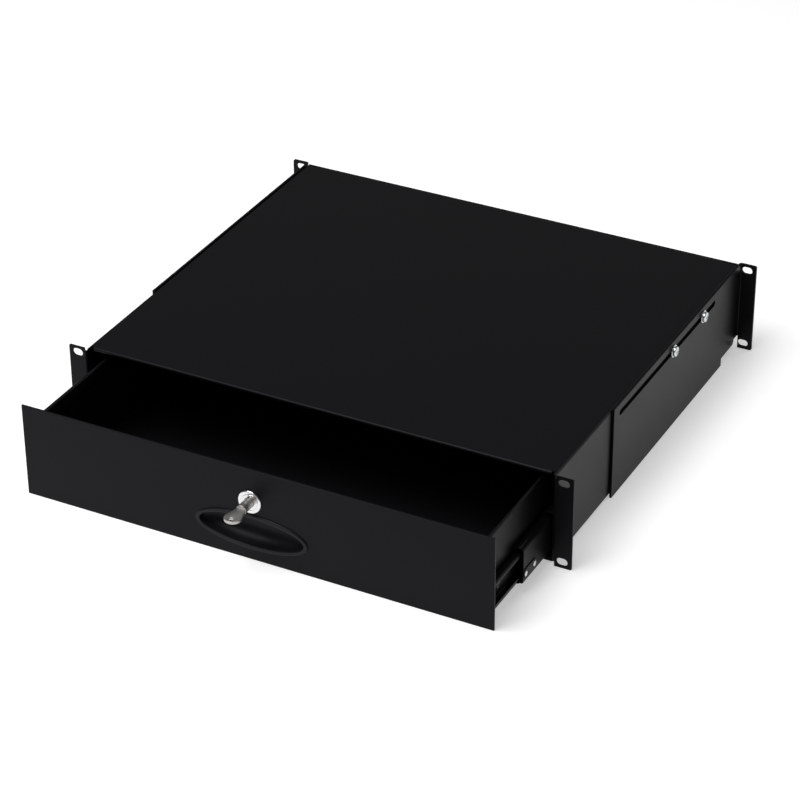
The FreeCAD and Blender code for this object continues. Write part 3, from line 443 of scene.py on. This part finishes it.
def turned(profile: np.ndarray, centre: np.ndarray, axis: Axis, segments: int,
           trim: Callable[[np.ndarray, np.ndarray], np.ndarray] | None = None) -> Surface:
    """A turned surface.

    At the angle t, a profile point (r, h) goes to centre + r (cos t, sin t) + h along the axis.

    Args:
        profile: Rows of radius and height.
        centre: Where the axis starts.
        axis: Which way the height runs.
        segments: Chords round the axis.
        trim: Changes the radii, given a column of them and the array of angles.

    Returns:
        The surface.
    """
    turn = full_turn(segments)
    radius = profile[:, :1] if trim is None else trim(profile[:, :1], turn)
    return Surface.woven(polar_grid(radius, profile[:, 1:], turn) @ basis(axis) + centre)


def box_of(node: str) -> tuple[np.ndarray, np.ndarray]:
    """The lowest and highest corner of a CAD node at rest."""
    low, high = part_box(node)
    return np.array(low), np.array(high)


def front_centre(low: np.ndarray, high: np.ndarray) -> np.ndarray:
    """The middle of the front face of the box between two corners."""
    return np.array([(low[0] + high[0]) / 2, low[1], (low[2] + high[2]) / 2])


def welded(node: str) -> bmesh.types.BMesh:
    """A CAD node's triangles with their shared corners joined.

    Args:
        node: The node's name.

    Returns:
        A mesh to edit, which the caller frees.
    """
    work = bmesh.new()
    work.from_mesh(frame["nodes"][node].data)
    bmesh.ops.remove_doubles(work, verts=work.verts, dist=MERGE)
    return work


def solids_of(node: str) -> list[tuple[np.ndarray, np.ndarray]]:
    """The separate solids of a CAD node.

    Args:
        node: The node's name.

    Returns:
        The lowest and highest corner of each solid.
    """
    work = welded(node)
    left, boxes = set(work.verts), []
    while left:
        wave, solid = [left.pop()], []
        while wave:
            vertex = wave.pop()
            solid.append(tuple(vertex.co))
            beyond = [e.other_vert(vertex) for e in vertex.link_edges]
            fresh = [v for v in beyond if v in left]
            left.difference_update(fresh)
            wave.extend(fresh)
        cloud = np.array(solid)
        boxes.append((cloud.min(0), cloud.max(0)))
    work.free()
    return sorted(boxes, key=lambda box: tuple(box[0].round(ORDER_DECIMALS)))


@dataclass
class Dresser:
    """Hands out materials and puts finished pieces on their bodies."""

    def __post_init__(self) -> None:
        """Builds each finish once."""
        self.materials = {slot: finish.build() for slot, finish in FINISHES.items()}

    def place(self, name: str, mesh: bpy.types.Mesh, node: str) -> bpy.types.Object:
        """Makes a piece that stands for a CAD node, in its slot's finish and on its body.

        Args:
            name: The piece's name.
            mesh: Its mesh, in the row frame.
            node: The CAD node that it replaces.

        Returns:
            The new object.
        """
        piece = bpy.data.objects.new(name, mesh)
        bpy.context.scene.collection.objects.link(piece)
        mesh.materials.clear()
        mesh.materials.append(self.materials[SLOT_OF[node]])
        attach(piece, BODY_OF[node])
        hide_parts(node)
        log.info("%s: %d faces, on %s", name, len(mesh.polygons), BODY_OF[node])
        return piece


class SubAssembly(Protocol):
    """What makes its own meshes and has them dressed."""

    def build(self, dresser: Dresser) -> None:
        """Makes the meshes and hands them to the dresser."""


# Sheet metal and rails

@dataclass
class PressedPart:
    """A folded, stamped or rolled piece: the CAD solid's own form, with its sharp edges broken.

    Attributes:
        node: The CAD node.
        edge: Width of the broken edge.
        chords: How many faces round it.
    """

    node: str
    edge: float = 0.18 * MM
    chords: int = 2

    def build(self, dresser: Dresser) -> None:
        """Welds a copy of the node's triangles, joins those in one plane and rounds the corners left.

        Args:
            dresser: Gives the finish.
        """
        work = welded(self.node)
        bmesh.ops.dissolve_limit(work, angle_limit=FLAT_ANGLE, verts=work.verts, edges=work.edges)
        smooth_by_angle(work)
        mesh = bpy.data.meshes.new(self.node + "_sheet")
        work.to_mesh(mesh)
        work.free()
        piece = dresser.place(self.node + "_finished", mesh, self.node)
        bevel = piece.modifiers.new("broken edge", "BEVEL")
        bevel.width = self.edge
        bevel.segments = self.chords
        bevel.limit_method = "ANGLE"
        bevel.angle_limit = SHARP_ANGLE
        bevel.harden_normals = True
        bevel.use_clamp_overlap = True


# Finger pull

@dataclass
class FingerPull:
    """The moulded oval cup that the drawer is pulled by.

    Attributes:
        rim: How far the rim stands out from the panel.
        rim_edge: Radius of the rim's outer rounding.
        lip: Radius of the rim's inner rounding.
        wall: Thickness of the bowl.
        flare: Width of the rim round the mouth.
        lift: How far the bowl's floor rises above the mouth's centre.
        fullness: Exponent of the bowl's section, higher for a flatter floor.
        bowl_rows: Cross-sections down the bowl.
        segments: Chords round the oval.
        catch: How far behind the panel the snaps catch: the tray's wall and a clearance.
        snap_tall: Height of a snap.
        snap_deep: Depth of a snap.
        snap_root: How far outside the mouth's end a snap starts.
        snap_inset: How far its catching edge stays inside the rim's end.
        snap_top: Width of its far end.
    """

    rim: float = 1.3 * MM
    rim_edge: float = 1.0 * MM
    lip: float = 0.7 * MM
    wall: float = 1.6 * MM
    flare: float = 3.8 * MM
    lift: float = 4.2 * MM
    fullness: float = 2.7
    bowl_rows: int = 26
    segments: int = 160
    catch: float = 1.6 * MM
    snap_tall: float = 9.0 * MM
    snap_deep: float = 4.0 * MM
    snap_root: float = 0.4 * MM
    snap_inset: float = 0.2 * MM
    snap_top: float = 2.2 * MM

    def rings(self, half: np.ndarray, depth: float) -> np.ndarray:
        """The oval's cross-sections, from the bowl's floor out over the rim and back behind the bowl.

        Each row is depth behind the panel's face, rise, half width and half height. The bowl's section
        follows (width / mouth)^n + (depth / full depth)^n = 1.

        Args:
            half: The rim's half width and half height.
            depth: The cup's whole depth behind the panel.

        Returns:
            An array with four columns.
        """
        mouth = half - self.flare
        share = np.sin(np.linspace(1.0, 0.0, self.bowl_rows) * math.pi / 2)
        narrow = (1.0 - share ** self.fullness) ** (1.0 / self.fullness)
        bowl = np.stack([share * (depth - self.wall), self.lift * share ** 2,
                         mouth[0] * narrow, mouth[1] * narrow], -1)
        inward = arc(self.lip, 180.0, 90.0)
        outward = arc(self.rim_edge, 90.0, 0.0)
        over = [(-self.rim + self.lip - up, mouth + self.lip + out) for out, up in inward]
        over += [(-self.rim + self.rim_edge - up, half - self.rim_edge + out) for out, up in outward]
        over += [(0.0, half), (0.0, mouth + self.wall)]
        lip = np.array([(y, 0.0, size[0], size[1]) for y, size in over])
        back = bowl[::-1] + np.array([self.wall, 0.0, self.wall, self.wall])
        close = np.array([[depth, self.lift, 0.0, 0.0]])
        return np.concatenate([bowl, lip, back, close])

    def snap(self, half: np.ndarray, seat: float, centre_z: float, side: float) -> Surface:
        """A wedge behind the tray's wall: a loft from its base on the bowl to its catching edge.

        Args:
            half: The rim's half width and half height.
            seat: The plane behind the tray's wall that it catches.
            centre_z: Height of the oval's centre.
            side: 1 for the right end, -1 for the left.

        Returns:
            The closed wedge.
        """
        inner, outer = half[0] - self.flare + self.snap_root, half[0] - self.snap_inset
        low, high = centre_z - self.snap_tall / 2, centre_z + self.snap_tall / 2
        outline = np.array([[inner, seat], [outer, seat], [inner + self.snap_top, seat + self.snap_deep],
                            [inner, seat + self.snap_deep]])
        flat = np.column_stack([side * outline[:, 0], outline[:, 1], np.zeros(len(outline))])
        rows = [flat + np.array([0.0, 0.0, z]) for z in (low, high)]
        middle = [row.mean(0, keepdims=True).repeat(len(outline), 0) for row in rows]
        return Surface.woven(np.stack([middle[0], rows[0], rows[1], middle[1]]))

    def build(self, dresser: Dresser) -> None:
        """Makes the cup round the CAD node's box.

        Args:
            dresser: Gives the finish.
        """
        low, high = box_of("handle_cup")
        half = (high - low)[[0, 2]] / 2
        centre_x, centre_z = (high + low)[[0, 2]] / 2
        face = low[1] + self.rim
        rings = self.rings(half, high[1] - face)
        turn = full_turn(self.segments)
        x = centre_x + rings[:, 2:3] * np.cos(turn)
        y = np.broadcast_to(face + rings[:, 0:1], x.shape)
        z = centre_z + rings[:, 1:2] + rings[:, 3:4] * np.sin(turn)
        seat = box_of("front_panel")[1][1] + self.catch
        parts = [Surface.woven(np.stack([x, y, z], -1))]
        parts += [self.snap(half, seat, centre_z, side) for side in (1.0, -1.0)]
        dresser.place("finger_pull", Surface.together(parts).mesh("finger_pull"), "handle_cup")


# Lock and key

@dataclass
class TubularLock:
    """The cam lock's turned pieces: the barrel with its bezel and the plug with the ring keyway.

    Attributes:
        bezel: Depth of the bezel in front of the panel.
        bezel_edge: Radius of the bezel's rounded rim.
        dish: How deep the bezel's face falls towards the plug.
        mouth_out: How far the eased mouth of the bezel's recess reaches outwards.
        mouth_up: How far it reaches forwards.
        flat: Distance of the barrel's flats from its axis.
        barrel_r: Radius of the barrel's body.
        bore: Radius of the hole that the plug turns in.
        recess: Radius of the recess for the plug's flange.
        turn_gap: Clearance behind the plug's flange.
        flange: Thickness of the plug's flange.
        shaft: Radius of the plug's body.
        keyway_in: Inner radius of the ring keyway.
        keyway_out: Outer radius of the ring keyway.
        keyway_deep: Depth of the ring keyway.
        ease: Width of the eased edges of the plug's face.
        notch: How far the keyway's index notch cuts outwards.
        notch_half_deg: Half the angle that the notch spans.
        square: Half width of the plug's square end.
        tapped: Radius of the hole for the cam's screw.
        tapped_deep: Depth of that hole.
        barrel_segments: Chords round the barrel.
        plug_segments: Chords round the plug.
    """

    bezel: float = 2.4 * MM
    bezel_edge: float = 1.2 * MM
    dish: float = 0.25 * MM
    mouth_out: float = 0.15 * MM
    mouth_up: float = 0.1 * MM
    flat: float = 8.0 * MM
    barrel_r: float = 9.4 * MM
    bore: float = 6.05 * MM
    recess: float = 7.45 * MM
    turn_gap: float = 0.05 * MM
    flange: float = 1.3 * MM
    shaft: float = 6.0 * MM
    keyway_in: float = 3.15 * MM
    keyway_out: float = 4.6 * MM
    keyway_deep: float = 8.0 * MM
    ease: float = 0.2 * MM
    notch: float = 0.9 * MM
    notch_half_deg: float = 9.0
    square: float = 3.5 * MM
    tapped: float = 2.05 * MM
    tapped_deep: float = 8.0 * MM
    barrel_segments: int = 128
    plug_segments: int = 160

    def barrel(self, low: np.ndarray, high: np.ndarray) -> Surface:
        """The barrel's section, turned, with its body cut by two flats: r = min(R, flat / |cos t|).

        Args:
            low: The CAD barrel's lowest corner.
            high: Its highest corner.

        Returns:
            The closed surface.
        """
        outer = (high[0] - low[0]) / 2
        length = high[1] - low[1]
        floor = -self.flange - self.turn_gap
        rim = arc(self.bezel_edge, 0.0, 90.0, steps=8)
        section = [(self.bore, -length), (self.bore, floor), (self.recess, floor), (self.recess, -self.dish),
                   (self.recess + self.mouth_out, -self.dish + self.mouth_up)]
        section += [(outer - self.bezel_edge + across, -self.bezel_edge + up) for across, up in rim[::-1]]
        section += [(outer, -self.bezel), (self.barrel_r, -self.bezel), (self.barrel_r, -length),
                    (self.bore, -length)]

        def flats(radius: np.ndarray, turn: np.ndarray) -> np.ndarray:
            """Pulls the body's own radius in to its flats."""
            wall = self.flat / np.maximum(np.abs(np.cos(turn)), LEAST_COSINE)
            return np.where(np.isclose(radius, self.barrel_r), np.minimum(radius, wall), radius)

        return turned(np.array(section), front_centre(low, high), Axis.FRONT, self.barrel_segments, flats)

    def plug(self, low: np.ndarray, high: np.ndarray) -> Surface:
        """The plug's section, turned, with an index notch cut out of the keyway's outer wall.

        Args:
            low: The CAD plug's lowest corner.
            high: Its highest corner.

        Returns:
            The closed surface.
        """
        outer = (high[0] - low[0]) / 2
        length = high[1] - low[1]
        body_end = -(box_of("lock_barrel")[1][1] - low[1])
        ease = self.ease
        section = [(0.0, 0.0), (self.keyway_in - ease, 0.0), (self.keyway_in, -ease),
                   (self.keyway_in, -self.keyway_deep), (self.keyway_out, -self.keyway_deep),
                   (self.keyway_out, -ease), (self.keyway_out + ease, 0.0), (outer - ease, 0.0),
                   (outer, -ease), (outer, -self.flange), (self.shaft, -self.flange), (self.shaft, body_end),
                   (self.square, body_end), (self.square, -length), (self.tapped, -length),
                   (self.tapped, -length + self.tapped_deep), (0.0, -length + self.tapped_deep)]

        def shaped(radius: np.ndarray, turn: np.ndarray) -> np.ndarray:
            """Squares the cam's seat, r = half / max(|cos t|, |sin t|), and cuts the notch at the top.

            Args:
                radius: A column of the section's radii.
                turn: The angles.

            Returns:
                A radius for each ring and angle.
            """
            square = self.square / np.maximum(np.abs(np.cos(turn)), np.abs(np.sin(turn)))
            off_top = np.abs((turn - math.pi / 2 + math.pi) % (2 * math.pi) - math.pi)
            inside = off_top < math.radians(self.notch_half_deg)
            result = np.where(np.isclose(radius, self.square), square, radius)
            keyway = np.isclose(radius, self.keyway_out) | np.isclose(radius, self.keyway_out + ease)
            return np.where(keyway & inside, result + self.notch, result)

        return turned(np.array(section), front_centre(low, high), Axis.FRONT, self.plug_segments, shaped)

    def build(self, dresser: Dresser) -> None:
        """Makes both pieces round the CAD nodes' boxes.

        Args:
            dresser: Gives the finishes.
        """
        for node, form in (("lock_barrel", self.barrel), ("lock_plug", self.plug)):
            name = node + "_turned"
            dresser.place(name, form(*box_of(node)).mesh(name), node)


@dataclass
class TubularKey:
    """The key: a stamped bow with an eased edge, on a hollow shank.

    Attributes:
        plate: Thickness of the bow.
        bow_r: Radius of the bow.
        hole_r: Radius of the key-ring hole.
        hole_shift: How far the hole's centre lies beyond the bow's.
        ease: Radius of the bow's eased edges.
        bow_segments: Chords round the bow.
        shank_out: Outer radius of the shank.
        shank_in: Radius of its bore.
        shank_ease: Width of its eased ends.
        shank_segments: Chords round the shank.
        end_wall: Thickness of the wall that closes the bore.
        neck: Length of the shank in front of the lock.
        inserted: Length of the shank inside it.
        neck_half: Half width of the bow's neck where it meets the shank.
        shoulder: Half width of the neck where it leaves the bow.
        shoulder_share: How far from the bow's centre that is, as a share of its radius.
        neck_span_deg: Angle from the shank's direction past which there is no neck.
        least_cosine: Keeps the neck's sides from running off to infinity.
    """

    plate: float = 2.4 * MM
    bow_r: float = 7.6 * MM
    hole_r: float = 2.2 * MM
    hole_shift: float = 3.8 * MM
    ease: float = 0.5 * MM
    bow_segments: int = 192
    shank_out: float = 4.45 * MM
    shank_in: float = 3.3 * MM
    shank_ease: float = 0.25 * MM
    shank_segments: int = 96
    end_wall: float = 4.0 * MM
    neck: float = 12.5 * MM
    inserted: float = 7.2 * MM
    neck_half: float = 3.6 * MM
    shoulder: float = 6.2 * MM
    shoulder_share: float = 0.55
    neck_span_deg: float = 75.0
    least_cosine: float = 0.2

    def outline(self, turn: np.ndarray, to_shank: float) -> np.ndarray:
        """The bow's outline about its centre: r(t) is the larger of the disc and the neck's three sides.

        A side at distance d, facing the angle a, is r = d / cos(t - a). The neck's slanted sides pass through
        the shoulder and the neck's corner.

        Args:
            turn: Angles from the shank's direction.
            to_shank: Distance from the bow's centre to the neck's end.

        Returns:
            Radii.
        """
        corner = np.array([to_shank, self.neck_half])
        run = corner - np.array([self.bow_r * self.shoulder_share, self.shoulder])
        normal = np.array([-run[1], run[0]]) / np.hypot(*run)
        slant = math.atan2(normal[1], normal[0])
        distance = float(corner @ normal)
        side = distance / np.maximum(np.cos(np.abs(turn) - slant), self.least_cosine)
        end = to_shank / np.maximum(np.cos(turn), self.least_cosine)
        neck = np.where(np.abs(turn) < math.radians(self.neck_span_deg), np.minimum(side, end), 0.0)
        return np.maximum(self.bow_r, neck)

    def bow(self, centre: np.ndarray, to_shank: float) -> Surface:
        """The bow: a closed band from the hole's edge over the top, round the outline and back below.

        Args:
            centre: The bow's centre, at mid-thickness.
            to_shank: Distance to the neck's end.

        Returns:
            The closed surface.
        """
        turn = np.linspace(-math.pi, math.pi, self.bow_segments, endpoint=False)
        around = np.stack([np.sin(turn), np.cos(turn)], -1)
        rim = self.outline(turn, to_shank)[:, None] * around
        eye = self.hole_r * around - np.array([0.0, self.hole_shift])
        out = rim - eye
        out /= np.linalg.norm(out, axis=1, keepdims=True)
        flat = self.plate / 2 - self.ease
        quarter = arc(self.ease, 0.0, 90.0, steps=4)
        rows = []
        for sign in (1.0, -1.0):
            outer = [(rim - out * (self.ease - a), sign * (flat + b)) for a, b in quarter]
            inner = [(eye + out * (self.ease - a), sign * (flat + b)) for a, b in quarter[::-1]]
            rows += (outer + inner)[:: int(sign)]
        grid = np.stack([np.column_stack([across, np.full(len(turn), up)]) for across, up in rows])
        return Surface.woven(grid + centre, ring=True, loop=True)

    def build(self, dresser: Dresser) -> None:
        """Makes the key round the CAD node's box.

        Args:
            dresser: Gives the finish.
        """
        low, high = box_of("key")
        centre_x, centre_z = (low + high)[[0, 2]] / 2
        neck_end = high[1] - self.inserted - self.neck
        bow_centre = np.array([centre_x, low[1] + self.bow_r, centre_z])
        shank = high[1] - neck_end
        ease = self.shank_ease
        section = np.array([(0.0, 0.0), (self.shank_out - ease, 0.0), (self.shank_out, ease),
                            (self.shank_out, shank - ease), (self.shank_out - ease, shank),
                            (self.shank_in + ease, shank), (self.shank_in, shank - ease),
                            (self.shank_in, self.end_wall), (0.0, self.end_wall)])
        foot = np.array([centre_x, neck_end, centre_z])
        parts = [self.bow(bow_centre, neck_end + self.end_wall / 2 - bow_centre[1]),
                 turned(section, foot, Axis.BACK, self.shank_segments)]
        dresser.place("tubular_key", Surface.together(parts).mesh("tubular_key"), "key")


# Screws and balls

@dataclass
class CrossScrews:
    """Screws with a domed head and a cross recess, one for each solid of a CAD node.

    Attributes:
        node: The CAD node.
        right_out: Which way the heads on the right-hand side face.
        left_out: Which way the heads on the left-hand side face.
        head: Height of the head.
        shank_r: Radius of the shank.
        crown: How much the head's top domes, as a share of its height.
        arm: Half the cross's length, as a share of the head's radius.
        blade: Half its width, as such a share.
        slope: How far in from its outline it is fully deep, as such a share.
        deep: Its depth, as a share of the head's height.
        cross_reach: Where the close rings end that the cross needs, as a share of the head's radius.
        plain_start: Where the plain rings start, as such a share.
        edge_start: Where the head's edge starts to round off, as such a share.
        edge_width: How wide the rounding is, as such a share.
        edge_first: How far into its quarter turn the rounding's first ring lies.
        edge_drop: How far the edge falls, as a share of the head's height.
        rings: How many close rings there are.
        plain_rings: How many plain rings.
        edge_rings: How many rings on the rounding.
        segments: Chords round the head.
        tip: Width of the shank's eased tip.
    """

    node: str
    right_out: Axis
    left_out: Axis
    head: float
    shank_r: float
    crown: float = 0.3
    arm: float = 0.52
    blade: float = 0.13
    slope: float = 0.06
    deep: float = 0.55
    cross_reach: float = 0.62
    plain_start: float = 0.66
    edge_start: float = 0.9
    edge_width: float = 0.1
    edge_first: float = 0.15
    edge_drop: float = 0.35
    rings: int = 30
    plain_rings: int = 6
    edge_rings: int = 7
    segments: int = 96
    tip: float = 0.3 * MM

    def top(self, radius: float) -> tuple[np.ndarray, np.ndarray]:
        """The head's top as heights over polar rings: a dome, less a cross that narrows as it deepens.

        With u and v across the head, a point is inside the cross by the larger of min(arm - u, blade - v)
        and min(arm - v, blade - u).

        Args:
            radius: The head's radius.

        Returns:
            A column of ring radii, and the heights at each ring and angle.
        """
        turn = full_turn(self.segments)
        quarter = np.linspace(self.edge_first, 1.0, self.edge_rings) * math.pi / 2
        share = np.concatenate([np.linspace(0.0, self.cross_reach, self.rings),
                                np.linspace(self.plain_start, self.edge_start, self.plain_rings),
                                self.edge_start + self.edge_width * np.sin(quarter)])[:, None]
        edge = np.clip((share - self.edge_start) / self.edge_width, 0.0, 1.0)
        fall = 1.0 - np.sqrt(np.maximum(1.0 - edge ** 2, 0.0))
        dome = self.head * (1.0 - self.crown * share ** 2) - self.head * self.edge_drop * fall
        u = np.abs(share * np.cos(turn))
        v = np.abs(share * np.sin(turn))
        inside = np.maximum(np.minimum(self.arm - u, self.blade - v),
                            np.minimum(self.arm - v, self.blade - u))
        press = np.clip(inside / self.slope, 0.0, 1.0) * self.deep * self.head
        return share * radius, dome - press

    def screw(self, low: np.ndarray, high: np.ndarray) -> Surface:
        """One screw in its CAD solid's box.

        Args:
            low: The solid's lowest corner.
            high: Its highest corner.

        Returns:
            The closed surface.
        """
        seat = (low + high) / 2
        axis = self.right_out if seat[0] > 0 else self.left_out
        along = np.array(axis.value)
        line = int(np.argmax(np.abs(along)))
        radius = np.delete(high - low, line).max() / 2
        length = (high - low)[line] - self.head
        seat[line] = (high if along[line] > 0 else low)[line] - along[line] * self.head
        below = np.array([(radius, 0.0), (self.shank_r, 0.0), (self.shank_r, -length + self.tip),
                          (self.shank_r - self.tip, -length), (0.0, -length)])
        turn = full_turn(self.segments)
        rings = [polar_grid(*self.top(radius), turn), polar_grid(below[:, :1], below[:, 1:], turn)]
        return Surface.woven(np.concatenate(rings) @ basis(axis) + seat)

    def build(self, dresser: Dresser) -> None:
        """Makes every screw of the node.

        Args:
            dresser: Gives the finish.
        """
        screws = [self.screw(low, high) for low, high in solids_of(self.node)]
        name = self.node + "_crossed"
        dresser.place(name, Surface.together(screws).mesh(name), self.node)


@dataclass
class Balls:
    """The balls of one cage, each a sphere: r (sin p cos t, sin p sin t, -cos p).

    Attributes:
        node: The CAD node.
        segments: Chords round a ball.
    """

    node: str
    segments: int = 32

    def build(self, dresser: Dresser) -> None:
        """Makes a sphere in each solid's box.

        Args:
            dresser: Gives the finish.
        """
        polar = np.linspace(0.0, math.pi, self.segments // 2 + 1)
        parts = []
        for low, high in solids_of(self.node):
            radius = float((high - low).mean()) / 2
            section = radius * np.stack([np.sin(polar), -np.cos(polar)], -1)
            parts.append(turned(section, (low + high) / 2, Axis.BACK, self.segments))
        name = self.node + "_round"
        dresser.place(name, Surface.together(parts).mesh(name), self.node)


# Camera, light and floor

@dataclass(frozen=True)
class Softbox:
    """A square soft lamp.

    Attributes:
        name: The lamp's name.
        place: Where it stands.
        aim: What it points at.
        size: Its side length.
        power: Its power in watts.
    """

    name: str
    place: tuple[float, float, float]
    aim: tuple[float, float, float]
    size: float
    power: float

    def hang(self) -> None:
        """Adds the lamp to the scene, turned to its aim."""
        data = bpy.data.lights.new(self.name, "AREA")
        data.shape = "SQUARE"
        data.size = self.size
        data.energy = self.power
        lamp = bpy.data.objects.new(self.name, data)
        lamp.location = self.place
        lamp.rotation_euler = (Vector(self.aim) - Vector(self.place)).to_track_quat("-Z", "Y").to_euler()
        bpy.context.scene.collection.objects.link(lamp)


SOFTBOXES = (
    Softbox("top_softbox", place=(-0.7, -0.7, 2.5), aim=(0.0, 0.1, 0.0), size=2.0, power=68.0),
    Softbox("rear_right_softbox", place=(1.5, 2.3, 1.1), aim=(0.1, 0.1, 0.0), size=1.2, power=8.0),
)


@dataclass
class Studio:
    """The pale floor, the even room light and the camera at the photograph's angle.

    Attributes:
        azimuth_deg: The camera's turn to the right of straight ahead.
        elevation_deg: Its height above the horizon.
        roll_deg: Its lean.
        distance: How far it stands from its aim.
        pivot: A point inside the object that it is turned about.
        slide_right: How far the aim lies to the right of that point, in the picture.
        slide_up: How far it lies above it.
        lens_mm: Focal length for the sensor's width.
        sensor_mm: The sensor's width.
        far_clip: How far the camera sees.
        floor_size: The floor's side length.
        floor_back: How far the floor's centre lies behind the object's origin.
        floor_colour: The floor's colour.
        floor_rough: Its roughness.
        floor_specular: How strongly it reflects.
        floor_lift: The glow that cameras and mirrors see on it.
        room: Brightness of the room.
    """

    azimuth_deg: float = 27.602
    elevation_deg: float = 31.399
    roll_deg: float = -0.344
    distance: float = 2.58189
    pivot: tuple[float, float, float] = (0.0, 0.2, -0.00505)
    slide_right: float = -0.01834
    slide_up: float = -0.043
    lens_mm: float = 129.21
    sensor_mm: float = 36.0
    far_clip: float = 50.0
    floor_size: float = 40.0
    floor_back: float = 0.2
    floor_colour: tuple[float, float, float, float] = (0.8, 0.8, 0.8, 1.0)
    floor_rough: float = 0.9
    floor_specular: float = 0.1
    floor_lift: float = 0.42
    room: float = 0.18

    def camera(self) -> None:
        """Stands the camera where the photograph was taken from."""
        azimuth, elevation = math.radians(self.azimuth_deg), math.radians(self.elevation_deg)
        roll = math.radians(self.roll_deg)
        back = Vector((math.sin(azimuth) * math.cos(elevation), -math.cos(azimuth) * math.cos(elevation),
                       math.sin(elevation)))
        level = Vector((math.cos(azimuth), math.sin(azimuth), 0.0))
        rise = back.cross(level)
        right = level * math.cos(roll) + rise * math.sin(roll)
        up = rise * math.cos(roll) - level * math.sin(roll)
        aim = Vector(self.pivot) + right * self.slide_right + up * self.slide_up
        data = bpy.data.cameras.new("photo_camera")
        data.lens = self.lens_mm
        data.sensor_width = self.sensor_mm
        data.clip_end = self.far_clip
        camera = bpy.data.objects.new("photo_camera", data)
        facing = Matrix((right, up, back)).transposed().to_4x4()
        camera.matrix_world = Matrix.Translation(aim + back * self.distance) @ facing
        bpy.context.scene.collection.objects.link(camera)
        bpy.context.scene.camera = camera

    def floor_material(self) -> bpy.types.Material:
        """Makes the floor's coat, which glows for the camera, for mirrors and through glass.

        Returns:
            The material.
        """
        material = bpy.data.materials.new("studio floor")
        material.use_nodes = True
        tree = material.node_tree
        nodes, link = tree.nodes, tree.links.new
        shader = nodes["Principled BSDF"]
        shader.inputs["Base Color"].default_value = self.floor_colour
        shader.inputs["Roughness"].default_value = self.floor_rough
        shader.inputs["Specular IOR Level"].default_value = self.floor_specular
        path = nodes.new("ShaderNodeLightPath")
        seen = math_node(tree, "MAXIMUM")
        shown = math_node(tree, "MAXIMUM")
        lift = math_node(tree, "MULTIPLY", self.floor_lift)
        glow = nodes.new("ShaderNodeEmission")
        both = nodes.new("ShaderNodeAddShader")
        link(path.outputs["Is Camera Ray"], seen.inputs[0])
        link(path.outputs["Is Glossy Ray"], seen.inputs[1])
        link(seen.outputs[0], shown.inputs[0])
        link(path.outputs["Is Transmission Ray"], shown.inputs[1])
        link(shown.outputs[0], lift.inputs[0])
        link(lift.outputs[0], glow.inputs["Strength"])
        link(shader.outputs["BSDF"], both.inputs[0])
        link(glow.outputs["Emission"], both.inputs[1])
        link(both.outputs["Shader"], nodes["Material Output"].inputs["Surface"])
        return material

    def floor(self) -> None:
        """Lays a pale sheet under the object, which takes its shadow."""
        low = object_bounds()[0].z
        half = self.floor_size / 2
        corners = [(-half, -half), (half, -half), (half, half), (-half, half)]
        mesh = bpy.data.meshes.new("studio_floor")
        mesh.from_pydata([(x, y + self.floor_back, low) for x, y in corners], [], [(0, 1, 2, 3)])
        mesh.materials.append(self.floor_material())
        floor = bpy.data.objects.new("studio_floor", mesh)
        bpy.context.scene.collection.objects.link(floor)
        floor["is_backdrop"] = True

    def world(self) -> None:
        """Fills the room with an even pale light."""
        world = bpy.data.worlds.new("studio")
        world.use_nodes = True
        sky = world.node_tree.nodes["Background"]
        sky.inputs["Color"].default_value = (self.room, self.room, self.room, 1.0)
        sky.inputs["Strength"].default_value = 1.0
        bpy.context.scene.world = world

    def build(self) -> None:
        """Sets up the whole studio."""
        self.floor()
        self.world()
        for softbox in SOFTBOXES:
            softbox.hang()
        bpy.context.scene.view_settings.view_transform = "Standard"
        self.camera()


# The whole object

PRESSED = (
    "housing_shell", "rear_panel", "lock_strike", "right_rear_bracket", "left_rear_bracket",
    "right_outer_rail", "left_outer_rail", "right_middle_rail", "left_middle_rail", "right_inner_rail",
    "left_inner_rail", "drawer_tray", "front_panel", "lock_cam", "lock_nut", "panel_nuts", "lock_washer",
    "clamp_washers", "clamp_nuts", "panel_studs", "outer_rail_rivets", "right_catch_rivets",
    "left_catch_rivets", "right_rail_catch", "left_rail_catch", "right_outer_cage", "left_outer_cage",
    "right_inner_cage", "left_inner_cage", "rail_bumpers",
)

SCREWS = (
    CrossScrews("clamp_screws", Axis.RIGHT, Axis.LEFT, head=3.2 * MM, shank_r=2.45 * MM),
    CrossScrews("inner_rail_screws", Axis.RIGHT, Axis.LEFT, head=1.8 * MM, shank_r=1.95 * MM),
    CrossScrews("rear_panel_screws", Axis.BACK, Axis.BACK, head=2.4 * MM, shank_r=1.95 * MM),
    CrossScrews("cam_screw", Axis.BACK, Axis.BACK, head=2.0 * MM, shank_r=2.0 * MM),
)

BALL_ROWS = ("right_outer_balls", "left_outer_balls", "right_inner_balls", "left_inner_balls")


def main() -> None:
    """Builds every sub-assembly in order."""
    logging.basicConfig(level=logging.INFO, format="%(name)s: %(message)s")
    dresser = Dresser()
    assemblies: list[SubAssembly] = [PressedPart(node) for node in PRESSED]
    assemblies += [FingerPull(), TubularLock(), TubularKey(), *SCREWS]
    assemblies += [Balls(node) for node in BALL_ROWS]
    for assembly in assemblies:
        assembly.build(dresser)
    Studio().build()


if __name__ == "__main__":
    main()
